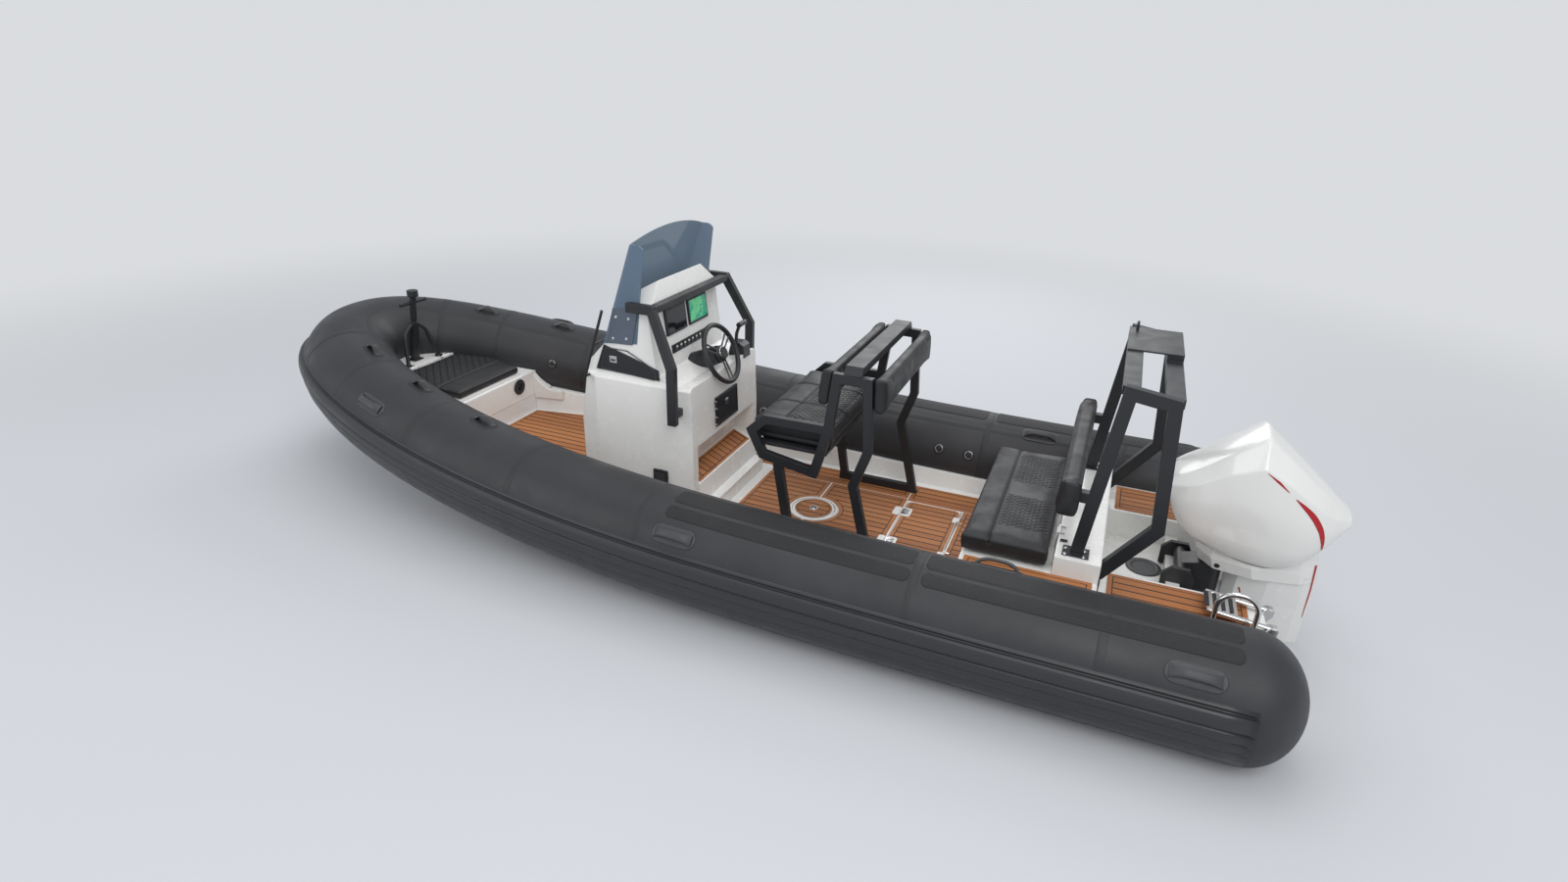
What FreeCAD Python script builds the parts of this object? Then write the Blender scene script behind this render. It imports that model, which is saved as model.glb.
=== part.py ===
import FreeCAD, Part
import math
import os

# Rigid inflatable boat of about 6.1 m: deep V hull, sewn tube, centre console, stern arch, outboard.
# Millimetres. +X is forward, +Y is port, +Z is up. The origin is on the centreline, on the
# transom's aft face, at the water's surface.

# Tube
tube_radius = 280.0
tube_spread = 945.0
tube_height = 270.0
tube_aft = -450.0
tube_dome = 230.0
tube_curve_start = 2009.0
bow_reach = 5663.0
sheer_start = -180.0
sheer_rise = 441.0
bow_fullness_share = 2.232
sheer_power_share = 2.94
bow_panel_shares = (0.11, 0.22, 0.33, 0.43, 0.53, 0.62, 0.71, 0.80, 0.88, 0.94, 1.0)

# Rubbing strake, wear patches, handles and valves on the tube
strake_aft = -235.0
strake_proud = 30.0
strake_outline_shares = ((25, 0.10), (23, 0.30), (20, 0.14), (19, 0.75), (14, 1.0), (8, 0.92), (5, 0.40),
                         (-2, 0.55), (-6, 0.30), (-13, 0.45), (-17, 0.22), (-30, 0.30), (-38, 0.08))
patch_thick = 2.0
patch_aft_start = -165.0
patch_length = 1240.0
patch_gap = 30.0
patch_angle_shares = ((58.0, 74.0), (78.0, 106.0))
grip_length = 190.0
grip_width = 46.0
grip_proud = 44.0
grip_gap = 20.0
grip_pad = 5.0
grip_places_shares = ((0.778739, 44.0), (0.407911, 41.0), (0.0, 41.0), (0.146565, 118.0))
strap_length = 150.0
strap_width = 40.0
strap_proud = 34.0
strap_thick = 7.0
strap_places_shares = ((0.858202, 103.0), (0.761081, 101.0), (0.658661, 96.0))
valve_radius = 30.0
valve_proud = 9.0
valve_places_shares = ((0.757549, 166.0), (0.467950, 162.0), (0.250750, 160.0), (0.217199, 161.0))

# Hull
hull_length = 5230.0
keel_depth = 380.0
stem_rise = 810.0
chine_half = 700.0
chine_flat = 35.0
chine_depth = 95.0
chine_rise = 565.0
hull_table_shares = (
    # place, chine beam, keel rise, chine rise
    (0.0, 0.97, 0.0, 0.0), (0.15, 1.0, 0.0, 0.0), (0.30, 1.0, 0.0, 0.01), (0.45, 0.985, 0.0, 0.04),
    (0.60, 0.93, 0.012, 0.10), (0.70, 0.85, 0.05, 0.185), (0.80, 0.70, 0.14, 0.32), (0.88, 0.52, 0.29, 0.49),
    (0.94, 0.335, 0.50, 0.67), (0.98, 0.16, 0.74, 0.84), (1.0, 0.03, 1.0, 0.97))
spray_rail_width = 34.0
spray_rail_shares = (0.36, 0.70)
spray_rail_end = 4300.0
spray_rail_fade = 1200.0
stem_half = 10.0
skin = 40.0
topside_inset = 120.0
topside_drop = 210.0
seat_inset = 150.0
seat_drop = 170.0

# Deck moulding
sole_height = 140.0
forward_sole_height = 220.0
sole_ramp = 20.0
sole_inset = 328.0
curb_inset = 300.0
curb_tuck = 180.0
curb_drop = 45.0
curb_drop_forward = 105.0
curb_fall_start = 2600.0
curb_fall_end = 4000.0
locker_aft = 4340.0
locker_front = 4890.0
locker_top_aft = 512.0
locker_top_front = 570.0
bow_block_half = 480.0
foredeck_top = 622.0
foredeck_front = 5130.0

# Stern: platforms, engine well, transom head
platform_aft = -330.0
platform_top = 355.0
platform_inner = 340.0
platform_corner = 70.0
platform_skirt = 60.0
platform_cover_outer = 655.0
well_floor = 200.0
transom_thick = 65.0
transom_top = 262.0

# Bench
bench_back_aft = 390.0
bench_back = 600.0
bench_front = 1030.0
bench_ledge = 415.0
bench_back_top = 515.0
bench_half = 590.0
bench_pocket_half = 470.0
bench_pocket_aft = 650.0
bench_pocket_front = 985.0
bench_pocket_floor = 170.0
bench_lid_thick = 14.0
bench_lid_lap = 30.0
bench_cushion_thick = 96.0
bench_cushion_gap = 14.0
bench_cushion_over = 25.0

# Hinges of the lids
hinge_radius = 7.0
hinge_pin = 4.0
hinge_length = 60.0
hinge_ear = 8.0
hinge_foot = 26.0
hinge_spread = 330.0
bow_hinge_spread = 150.0
hatch_hinge_spread = 210.0
hatch_hinge_share = 0.5

# Bow locker lid and cushion
bow_lid_half_aft = 300.0
bow_lid_half_mid = 338.0
bow_lid_half_front = 226.0
bow_lid_mid_share = 0.50
sweep_run = 210.0
sweep_drop = 16.0
sweep_sink = 60.0
bow_lid_margin = 20.0
bow_lid_step = 20.0
bow_lid_thick = 14.0
bow_tongue_root = 24.0
bow_cushion_thick = 54.0
bow_pocket_share = 0.82
bow_pocket_depth = 120.0
sweep_shares = (0.0, 0.2, 0.4, 0.55, 0.7, 0.82, 0.92, 1.0)

# Deck hatch in the cockpit sole
hatch_aft = 1175.0
hatch_length = 335.0
hatch_half = 340.0
hatch_thick = 22.0
hatch_pocket_depth = 150.0
hatch_rebate = 16.0

# Floor coverings and the inspection plate
cover_thick = 5.0
cover_margin = 22.0
cover_half = 560.0
cover_aft = 1052.0
cover_front_gap = 143.0
plate_x = 2005.0
plate_radius = 130.0
ring_width = 16.0

# Console
console_aft = 2583.0
console_front = 3407.0
console_half = 430.0
console_top = 1478.0
console_side_shares = ((0.0, 0.0), (0.0, 0.3438), (0.018, 0.6047), (0.128, 0.592), (0.2828, 0.6263),
                       (0.335, 0.876), (0.316, 0.915), (0.365, 1.0), (0.455, 0.968), (0.690, 0.737),
                       (0.821, 0.650), (0.965, 0.245), (1.0, 0.205), (1.0, 0.0))
console_front_shares = ((1.0, 0.0), (1.0, 0.590), (0.93, 0.606), (0.93, 0.90), (0.58, 1.0))
console_plan_shares = ((0.5, 1.0), (0.88, 1.0), (0.96, 0.90), (1.0, 0.66))
shoulder_half = 399.9
recess_shares = ((-0.05, 0.0), (-0.05, 0.335), (0.0, 0.335), (0.13, 0.325), (0.153, 0.195), (0.0, 0.155),
                 (0.0, 0.0))
foot_recess_half = 372.0
tread_half = 372.0
tread_shares = ((-0.095, 0.0), (-0.095, 0.065), (-0.03, 0.070), (0.0, 0.154), (0.155, 0.195), (0.155, 0.0))
ridge_share = 0.3438
console_length = console_front - console_aft
aft_face_run = 15.0
aft_face_tall = 349.0

# Door in the console's aft face
door_half = 140.0
door_offset = 8.0
door_low = 30.0
door_high = 205.0
door_thick = 12.0
door_lap = 14.0
door_pocket_depth = 90.0
door_pin = 3.0
door_barrel = 6.0
door_knuckle = 36.0

# Dash, displays, switch panel and side panel
dash_share = (0.2828, 0.6263)
dash_run = 43.0
dash_tall = 334.0
display_width = 232.0
display_height = 150.0
display_proud = 9.0
display_half_gap = 14.0
display_low = 188.0
switch_width = 416.0
switch_height = 48.0
switch_low = 78.0
side_panel_proud = 7.0
side_panel_span_shares = (0.2633495146, 0.4975728155)
side_panel_low = 955.0
side_panel_high = 1118.0
side_panel_shares = ((0.0, 0.02), (0.01, 0.38), (0.45, 0.72), (0.86, 1.0), (1.0, 0.10))
vent_setback = 212.0
vent_z = 382.0
vent_radius = 46.0
vent_proud = 14.0
throttle_setback = 9.0
throttle_y = -300.0
throttle_length = 112.0
throttle_width = 90.0
throttle_low = 925.0
throttle_height = 92.0
throttle_shares = ((0.0, 0.0), (0.05, 0.80), (0.30, 1.0), (0.80, 1.0), (1.0, 0.0))
lever_length = 120.0
lever_thick = 16.0

# Steering wheel and its column
wheel_radius = 170.0
wheel_rim = 15.0
wheel_reach = 179.0272
wheel_rise = 43.0106
wheel_hub_radius = 48.0
hub_length = 34.0
wheel_spokes = 3
spoke_radius = 9.0
shaft_radius = 12.0
shaft_cap = 8.0
wheel_lean = 25.0
rim_share = 0.6
boss_radius = 62.0
boss_length = 135.0
boss_taper_share = 0.85

# Windscreen
screen_thick = 8.0
screen_half = 404.0
screen_span_shares = (0.3385922330, 0.3519417476)
screen_low = 1128.0
screen_tall = 640.0
screen_corner = 1692.0
screen_top = 1748.0
screen_rake = 20.0
screen_round = 40.0
screen_side_shares = ((1.0, 0.0), (0.225, 1.0), (0.0, 0.98), (0.26, 0.035))

# Grab rail and side rails of the console
rail_width = 50.0
rail_depth = 36.0
rail_foot_setback = 85.0
rail_foot_z = 755.0
rail_knee_z = 1078.0
rail_top_reach = 5.0272
rail_top_z = 1368.0
rail_foot_half = 500.0
rail_top_half = 445.0
rail_stub_share = 0.1820388350
rail_bracket = 40.0
side_rail_radius = 8.0
side_rail_half = 458.0
side_rail_top_z = 1331.0
side_rail_x_shares = (0.6444174757, 0.8240291262)
side_rail_low_z = 905.0
side_rail_post_shares = (0.06, 0.52)

# Helm seat
seat_half = 470.0
seat_bar = 48.0
seat_bar_thick = 34.0
seat_setback = 1083.0
seat_length = 730.0
seat_tall = 1060.0
seat_leg_shares = ((0.68, 0.0225), (0.026, 0.0225), (0.178, 0.43), (0.088, 0.62), (0.119, 0.967), (0.338, 0.970),
                   (0.392, 0.655))
seat_arm_shares = ((0.384, 0.698), (0.862, 0.696), (0.966, 0.627), (0.877, 0.505), (0.476, 0.457), (0.384, 0.698))
seat_front_leg_shares = ((0.757, 0.47), (0.637, 0.0225))
seat_pan_shares = ((0.40, 0.565), (0.92, 0.565), (0.92, 0.548), (0.40, 0.548))
seat_pad_half = 440.0
seat_cushion_set = 262.0
seat_cushion_length = 473.0
seat_cushion_thick = 122.0
seat_back_thick = 60.0
seat_back_half = 500.0
forward_pad_low = 1010.0
forward_pad_high = 1215.0
aft_pad_low = 1010.0
aft_pad_high = 1205.0
seat_beam_width = 92.0
seat_beam_height = 42.0
seat_beam_share = 0.228
seat_beam_slope = 60.0

# Arch
arch_half = 515.0
arch_bar = 58.0
arch_bar_thick = 44.0
arch_aft = 190.0
arch_length = 320.0
arch_base = 415.0
arch_tall = 922.0
arch_leg_shares = ((1.0, 0.09), (0.71, 1.0), (0.14, 0.971), (0.0, 0.331), (0.66, 0.02))
arch_foot_plate = 120.0
arch_plate_thick = 8.0
arch_beam_width = 74.0
arch_beam_height = 40.0
arch_top_plate_y = -488.0
arch_top_plate_width = 430.0
arch_eye_radius = 7.0
arch_eye_width = 46.0
arch_eye_height = 44.0

# Backrest of the bench
backrest_x = 540.0
backrest_thick = 96.0
backrest_low = 722.0
backrest_high = 908.0
backrest_half = 600.0
backrest_lean = 18.0
backrest_bracket = 50.0
backrest_bracket_low = 790.0

# Bow post
post_x = 5014.0
post_radius = 21.0
post_base_radius = 30.0
post_height = 480.0
post_lean_run = 70.0
post_bar_half = 112.0
post_bar_drop = 62.0
post_bar_radius = 12.0
post_knob_radius = 36.0
post_knob_height = 44.0
post_fork_drop = 200.0
post_leg_radius = 13.0
post_leg_half = 140.0
post_leg_run = 78.0
post_plate_half = 40.0
post_plate_thick = 8.0

# Hoops, ladder and eyes at the stern, eye at the bow
hoop_x = -180.0
hoop_half_length = 82.0
hoop_height = 186.0
hoop_radius = 12.0
hoop_y = 620.0
ladder_inner = 405.0
ladder_outer = 560.0
ladder_front = -75.0
ladder_rail_radius = 14.0
ladder_lift = 16.0
ladder_rise = 30.0
ladder_step_count = 4
ladder_step_width = 26.0
ladder_step_thick = 22.0
ladder_step_pitch = 34.0
ladder_pin_radius = 6.0
ladder_ear = 9.0
ladder_foot = 24.0
eye_radius = 8.0
eye_width = 30.0
eye_height = 44.0
eye_plate_thick = 12.0
eye_reach = 38.0
stern_eye_y = 430.0
stern_eye_z = -42.0
bow_eye_x = 4905.0

# Outboard's brackets
tilt_x = 4.0
tilt_z = 305.0
tilt_tube_radius = 19.0
bracket_half = 150.0
bracket_thick = 26.0
bracket_bridge = 60.0
clamp_aft = -62.0
clamp_length = 154.0
clamp_low = -70.0
clamp_tall = 415.0
clamp_shares = ((0.20, 0.0), (0.0, 0.55), (0.0, 0.86), (0.18, 1.0), (0.72, 1.0), (1.0, 0.90), (1.0, 0.68),
                (0.83, 0.66), (0.83, 0.80), (0.40, 0.80), (0.40, 0.0))
steer_x = -140.0
steer_pin_radius = 20.0
swivel_barrel = 30.0
swivel_radius = 46.0
swivel_top = 372.0
swivel_bottom = 40.0
swivel_web = 170.0
swivel_web_half = 60.0
transom_gap = 8.0
yoke_tall = 36.0
yoke_half = 40.0

# Cowl, leg and gearcase
cowl_front = 148.0
cowl_aft = -624.0
cowl_half = 245.0
cowl_bottom = 480.0
cowl_peak = 1118.0
cowl_station_shares = (
    # place, half beam, belly, waist, shoulder, ridge
    (0.0, 0.60, 0.40, 0.44, 0.47, 0.49), (0.04, 0.84, 0.24, 0.36, 0.50, 0.54),
    (0.15, 0.97, 0.10, 0.40, 0.575, 0.643), (0.30, 1.0, 0.02, 0.42, 0.69, 0.812),
    (0.469, 1.0, -0.03, 0.42, 0.775, 1.0), (0.62, 1.0, -0.05, 0.38, 0.68, 0.845),
    (0.77, 0.95, -0.01, 0.34, 0.56, 0.69), (0.89, 0.80, 0.16, 0.33, 0.46, 0.57),
    (1.0, 0.45, 0.34, 0.38, 0.42, 0.451))
leg_front = -30.0
leg_aft = -600.0
leg_half = 168.0
leg_top = 600.0
saddle_station_shares = (
    # rise, front, back, half beam
    (1.0, 0.0, 0.90, 0.95), (0.83, 0.02, 0.95, 1.0), (0.766, 0.06, 0.97, 0.90))
leg_station_shares = (
    (0.80, 0.30, 0.97, 0.80), (0.60, 0.30, 0.99, 0.50), (0.39, 0.32, 0.99, 0.34), (0.16, 0.36, 0.90, 0.26),
    (0.0, 0.38, 0.86, 0.22))
cavitation_z = -385.0
plate_front = -240.0
plate_aft = -610.0
plate_half = 128.0
plate_thick_cav = 14.0
gear_radius = 60.0
gear_front = -205.0
gear_aft = -545.0
gear_drop = 205.0
gear_shares = ((0.0, 0.05), (0.04, 0.45), (0.14, 0.82), (0.32, 1.0), (0.72, 1.0), (1.0, 0.90))
strut_half = 22.0
skeg_depth = 200.0
skeg_thick = 11.0

# Propeller
prop_radius = 183.0
prop_hub_radius = 54.0
prop_hub_length = 118.0
prop_blades = 3
prop_blade_thick = 9.0
prop_pitch = 430.0
prop_chord = 190.0
prop_rake = 18.0
prop_skew = 24.0
prop_shaft_radius = 14.0
blade_radius_shares = (0.26, 0.45, 0.62, 0.76, 0.88, 0.96, 1.0)

# General fits
cut_over = 60.0
fit_gap = 0.3
pad_gap = 0.9
move_gap = 5.5
bore_clearance = 0.05
round_small = 6.0
round_cushion = 20.0

vector = FreeCAD.Vector
up = vector(0, 0, 1)
os.makedirs("parts", exist_ok=True)


def export(name, shape):
    shape.exportStep("parts/" + name + ".step")
    print(name, len(shape.Solids), "solids", round(shape.Volume / 1e6, 3), "litres")


def group(shapes):
    return Part.makeCompound(list(shapes))


def mirrored(shape):
    return shape.mirror(vector(0, 0, 0), vector(0, 1, 0))


def both_sides(shape):
    return group([shape, mirrored(shape)])


def polygon(points):
    corners = [vector(*point) for point in points]
    return Part.Face(Part.makePolygon(corners + corners[:1]))


def prism_y(outline, low, high):
    face = polygon([(x, low, z) for x, z in outline])
    return face.extrude(vector(0, high - low, 0))


def prism_z(outline, low, high):
    face = polygon([(x, y, low) for x, y in outline])
    return face.extrude(vector(0, 0, high - low))


def prism_x(outline, low, high):
    face = polygon([(low, y, z) for y, z in outline])
    return face.extrude(vector(high - low, 0, 0))


def block(x0, x1, y0, y1, z0, z1):
    return Part.makeBox(x1 - x0, y1 - y0, z1 - z0, vector(x0, y0, z0))


def mirror_outline(half):
    return list(half) + [(-y, z) for y, z in reversed(half) if abs(y) > 0]


def spread(shares, x, length, z, height):
    return [(x + length * along, z + height * rise) for along, rise in shares]


def lerp(low, high, share):
    return low + (high - low) * share


def clamp_share(value, start, end):
    return min(1.0, max(0.0, (value - start) / (end - start)))


def soften(shape, radius, choose):
    edges = [edge for edge in shape.Edges if choose(edge)]
    return shape.makeFillet(radius, edges)


def upright(edge):
    box = edge.BoundBox
    return box.ZLength > box.XLength + box.YLength


def ribbon(points, half, closed):
    # Mitred lines at half a width on each side of a line of points, in a plane
    count = len(points)
    left = []
    right = []
    for index, (x, z) in enumerate(points):
        back = points[index - 1] if index > 0 or closed else None
        ahead = points[(index + 1) % count] if index < count - 1 or closed else None
        normals = []
        for start, end in ((back, (x, z)), ((x, z), ahead)):
            if start is None or end is None:
                continue
            run = math.hypot(end[0] - start[0], end[1] - start[1])
            normals.append((-(end[1] - start[1]) / run, (end[0] - start[0]) / run))
        nx = sum(normal[0] for normal in normals) / len(normals)
        nz = sum(normal[1] for normal in normals) / len(normals)
        square = nx * nx + nz * nz
        left.append((x + nx * half / square, z + nz * half / square))
        right.append((x - nx * half / square, z - nz * half / square))
    return left, right


def flat_bar(points, width, middle, thick):
    # A loop of bar where the line of points ends where it started
    low, high = middle - thick / 2, middle + thick / 2
    if points[0] != points[-1]:
        left, right = ribbon(points, width / 2, False)
        return prism_y(left + right[::-1], low, high)
    left, right = ribbon(points[:-1], width / 2, True)
    forms = sorted([prism_y(left, low, high), prism_y(right, low, high)], key=lambda form: form.Volume)
    return forms[1].cut(forms[0])


def bent_rod(points, radius, bend):
    # A round bar along straight runs joined by tangent arcs
    corners = [vector(*point) for point in points]
    edges = []
    start = corners[0]
    for index in range(1, len(corners) - 1):
        corner = corners[index]
        incoming = (corner - corners[index - 1]).normalize()
        outgoing = (corners[index + 1] - corner).normalize()
        turn = incoming.getAngle(outgoing)
        reach = bend * math.tan(turn / 2)
        first = corner - incoming * reach
        last = corner + outgoing * reach
        inward = (outgoing - incoming).normalize()
        middle = corner + inward * (bend / math.cos(turn / 2) - bend)
        edges.append(Part.LineSegment(start, first).toShape())
        edges.append(Part.Arc(first, middle, last).toShape())
        start = last
    edges.append(Part.LineSegment(start, corners[-1]).toShape())
    path = Part.Wire(edges)
    ring = Part.Wire(Part.makeCircle(radius, corners[0], corners[1] - corners[0]))
    return path.makePipeShell([ring], True, False)


def straight_rod(start, end, radius):
    line = vector(*end) - vector(*start)
    return Part.makeCylinder(radius, line.Length, vector(*start), line)


# Tube centreline: straight aft, then a fuller than elliptic bow, with the sheer rising forward
bow_centre = bow_reach - tube_radius


def bow_share(x):
    return clamp_share(x, tube_curve_start, bow_centre)


def tube_y(x):
    return tube_spread * (1 - bow_share(x) ** bow_fullness_share) ** (1 / bow_fullness_share)


def tube_z(x):
    return tube_height + sheer_rise * clamp_share(x, sheer_start, bow_centre) ** sheer_power_share


def tube_point(turn_share):
    angle = turn_share * math.pi / 2
    reach = math.sin(angle) ** (2 / bow_fullness_share)
    x = lerp(tube_curve_start, bow_centre, reach)
    y = tube_spread * max(0.0, math.cos(angle)) ** (2 / bow_fullness_share)
    return vector(x, y, tube_z(x))


def tube_frames():
    # Centre, outward and upward directions of each ring of the port tube
    straight = [vector(x, tube_spread, tube_z(x)) for x in
                (tube_aft + tube_dome, lerp(tube_aft + tube_dome, tube_curve_start, 0.5), tube_curve_start)]
    centres = straight + [tube_point(share) for share in bow_panel_shares]
    centres[-1] = vector(bow_centre, 0, tube_z(bow_centre))
    frames = []
    for index, centre in enumerate(centres):
        if index == 0:
            tangent = vector(1, 0, 0)
        elif index == len(centres) - 1:
            tangent = vector(0, -1, 0)
        else:
            tangent = (centres[index + 1] - centres[index - 1]).normalize()
        outward = up.cross(tangent)
        outward.normalize()
        rise = tangent.cross(outward).normalize()
        frames.append((centre, outward, rise))
    return frames


frames = tube_frames()
straight_rings = 3


def ring_point(frame, degrees, radius):
    centre, outward, rise = frame
    angle = math.radians(degrees)
    return centre + outward * (radius * math.cos(angle)) + rise * (radius * math.sin(angle))


def frame_at(x):
    # The ring frame at a place along the boat, between the rings of the ruled tube
    for low, high in zip(frames[:-1], frames[1:]):
        if low[0].x <= x <= high[0].x:
            share = (x - low[0].x) / (high[0].x - low[0].x)
            centre = low[0] + (high[0] - low[0]) * share
            outward = (low[1] + (high[1] - low[1]) * share).normalize()
            rise = (low[2] + (high[2] - low[2]) * share).normalize()
            return centre, outward, rise
    return frames[0]


def ring_wire(frame, radius):
    quarter = [ring_point(frame, degrees, radius) for degrees in range(0, 360, 90)]
    arcs = []
    for index in (0, 2):
        arcs.append(Part.Arc(quarter[index], quarter[(index + 1) % 4], quarter[(index + 2) % 4]).toShape())
    return Part.Wire(arcs)


def tube_side():
    # Aft chamber with its domed end, turned about the tube's axis
    low = vector(tube_aft + tube_dome, tube_spread, tube_height)
    dome = Part.makeSphere(tube_radius)
    squash = FreeCAD.Matrix()
    squash.scale(tube_dome / tube_radius, 1, 1)
    dome = dome.transformGeometry(squash)
    dome.translate(low)
    keep = block(tube_aft - cut_over, low.x, 0, tube_spread * 2, tube_height - tube_spread, tube_spread * 2)
    dome = dome.common(keep)
    body = Part.makeLoft([ring_wire(frame, tube_radius) for frame in frames[:straight_rings]], True, True)
    return dome.fuse(body).removeSplitter()


def tube_bow():
    return Part.makeLoft([ring_wire(frame, tube_radius) for frame in frames[straight_rings - 1:]], True, True)


def strake_section(frame):
    low = strake_outline_shares[-1][0]
    high = strake_outline_shares[0][0]
    seat = tube_radius + fit_gap
    inner = Part.Arc(ring_point(frame, low, seat), ring_point(frame, (low + high) / 2, seat),
                     ring_point(frame, high, seat)).toShape()
    outer = [ring_point(frame, degrees, seat + strake_proud * share) for degrees, share in strake_outline_shares]
    corners = [ring_point(frame, high, seat)] + outer + [ring_point(frame, low, seat)]
    edges = [Part.LineSegment(a, b).toShape() for a, b in zip(corners[:-1], corners[1:])]
    return Part.Wire([inner] + edges)


def strake():
    start = (vector(strake_aft, tube_spread, tube_height), frames[0][1], frames[0][2])
    return Part.makeLoft([strake_section(frame) for frame in [start] + frames[1:]], True, True)


def arc_patch(low_frame, high_frame, low, high, inner, outer):
    wires = []
    for frame in (low_frame, high_frame):
        middle = (low + high) / 2
        inside = Part.Arc(ring_point(frame, low, inner), ring_point(frame, middle, inner),
                          ring_point(frame, high, inner)).toShape()
        outside = Part.Arc(ring_point(frame, high, outer), ring_point(frame, middle, outer),
                           ring_point(frame, low, outer)).toShape()
        side_a = Part.LineSegment(ring_point(frame, high, inner), ring_point(frame, high, outer)).toShape()
        side_b = Part.LineSegment(ring_point(frame, low, outer), ring_point(frame, low, inner)).toShape()
        wires.append(Part.Wire([inside, side_a, outside, side_b]))
    return Part.makeLoft(wires, True, True)


def wear_patches():
    pieces = []
    rings = [frame[0].x for frame in frames]
    aft_run = (patch_aft_start, patch_aft_start + patch_length + 2 * patch_gap)
    forward_run = (aft_run[1] + patch_gap, aft_run[1] + patch_gap + patch_length)
    for low, high in patch_angle_shares:
        for start, end in (aft_run, forward_run):
            stops = [start] + [x for x in rings if start < x < end] + [end]
            parts = [arc_patch(frame_at(a), frame_at(b), low, high, tube_radius, tube_radius + patch_thick)
                     for a, b in zip(stops[:-1], stops[1:])]
            pieces.append(parts[0].multiFuse(parts[1:]) if parts[1:] else parts[0])
    return both_sides(group(pieces))


def on_tube(shape, share, degrees):
    # Carries a piece made on the XY plane, long along X, onto the tube's skin
    centre, outward, rise = frame_at(share * bow_reach)
    angle = math.radians(degrees)
    normal = (outward * math.cos(angle) + rise * math.sin(angle)).normalize()
    along = outward.cross(rise) * -1.0
    along.normalize()
    across = normal.cross(along).normalize()
    seat = centre + normal * (tube_radius + pad_gap)
    matrix = FreeCAD.Matrix(along.x, across.x, normal.x, seat.x, along.y, across.y, normal.y, seat.y,
                            along.z, across.z, normal.z, seat.z, 0, 0, 0, 1)
    placed = shape.copy()
    placed.Placement = FreeCAD.Placement(matrix)
    return placed


def saddle(shape):
    # Trims a piece's underside to the tube's round skin, here an upright axis along X
    skin_form = Part.makeCylinder(tube_radius, grip_length * 3, vector(-grip_length * 1.5, 0, -tube_radius),
                                  vector(1, 0, 0))
    return shape.cut(skin_form)


def grip():
    # Moulded handle: a pad with a bulging bar over a finger gap
    pad = block(-grip_length / 2 - grip_gap, grip_length / 2 + grip_gap, -grip_width, grip_width,
                -grip_width / 2, grip_pad)
    pad = soften(pad, grip_width * 0.8, upright)
    bar = block(-grip_length / 2, grip_length / 2, -grip_width / 2, grip_width / 2, 0, grip_proud)
    bar = soften(bar, grip_width * 0.45, upright)
    bar = soften(bar, grip_width * 0.3, lambda edge: edge.BoundBox.ZMin > grip_proud - 1e-3)
    gap = block(-grip_length * 0.32, grip_length * 0.32, -grip_width, grip_width, grip_pad, grip_pad + grip_gap)
    return saddle(pad.fuse(bar)).cut(gap)


def strap():
    # Looped webbing handle on a flat patch
    half = strap_length / 2
    arch = [(-half, 0), (-half * 0.45, strap_proud), (half * 0.45, strap_proud), (half, 0)]
    left, right = ribbon([(x, z) for x, z in arch], strap_thick / 2, False)
    band = prism_y(left + right[::-1], -strap_width / 2, strap_width / 2)
    pad = block(-half - strap_width / 2, half + strap_width / 2, -strap_width, strap_width, -strap_width / 2,
                strap_thick)
    pad = soften(pad, strap_width * 0.7, upright)
    return saddle(pad.fuse(band))


def valve():
    base = Part.makeCylinder(valve_radius, valve_proud + valve_radius, vector(0, 0, -valve_radius))
    cap = Part.makeCone(valve_radius * 0.62, valve_radius * 0.5, valve_proud, vector(0, 0, valve_proud))
    return saddle(base.fuse(cap))


# Hull and deck sections, both worked out from the tube that they carry
def table_value(x, column):
    share = clamp_share(x, 0, hull_length)
    for low, high in zip(hull_table_shares[:-1], hull_table_shares[1:]):
        if share <= high[0]:
            break
    return lerp(low[column], high[column], clamp_share(share, low[0], high[0]))


def keel_z(x):
    return stem_rise * table_value(x, 2) - keel_depth


def chine_z(x):
    return chine_rise * table_value(x, 3) - chine_depth


def chine_y(x):
    return chine_half * table_value(x, 1)


def sole_z(x):
    share = clamp_share(x, console_front, console_front + sole_ramp)
    return lerp(sole_height, forward_sole_height, share)


def sole_half(x):
    return tube_y(x) - sole_inset


def curb_z(x):
    share = clamp_share(x, curb_fall_start, curb_fall_end)
    return tube_z(x) - lerp(curb_drop, curb_drop_forward, share)


def hull_section(x, forward):
    keel = (0.0, keel_z(x))
    chine = (chine_y(x), chine_z(x))
    fade = 1 - clamp_share(x, spray_rail_end - spray_rail_fade, spray_rail_end)
    wide = (spray_rail_width * fade + stem_half / 10) * chine[0] / chine_half
    slope = (chine[1] - keel[1]) / chine[0]
    points = [keel]
    for share in spray_rail_shares:
        root = (lerp(keel[0], chine[0], share), lerp(keel[1], chine[1], share))
        points.append(root)
        points.append((root[0] + wide, root[1]))
        points.append((root[0] + wide * 1.2, root[1] + wide * 1.2 * slope))
    flat = chine_flat * chine[0] / chine_half
    points.append(chine)
    points.append((chine[0] + flat, chine[1] + flat / 10))
    points.append((tube_y(x) - topside_inset, tube_z(x) - topside_drop))
    points.append((tube_y(x) - seat_inset, tube_z(x) - seat_drop))
    top = tube_z(x) - seat_drop if forward else sole_z(x) - skin
    points.append((max(stem_half / 10, sole_half(x)), top))
    points.append((0.0, top))
    return points


def deck_section(x):
    return [(0.0, sole_z(x) - skin), (sole_half(x), sole_z(x) - skin),
            (tube_y(x) - seat_inset, tube_z(x) - seat_drop), (tube_y(x) - curb_tuck, curb_z(x)),
            (tube_y(x) - curb_inset, curb_z(x)), (sole_half(x), sole_z(x)), (0.0, sole_z(x))]


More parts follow.
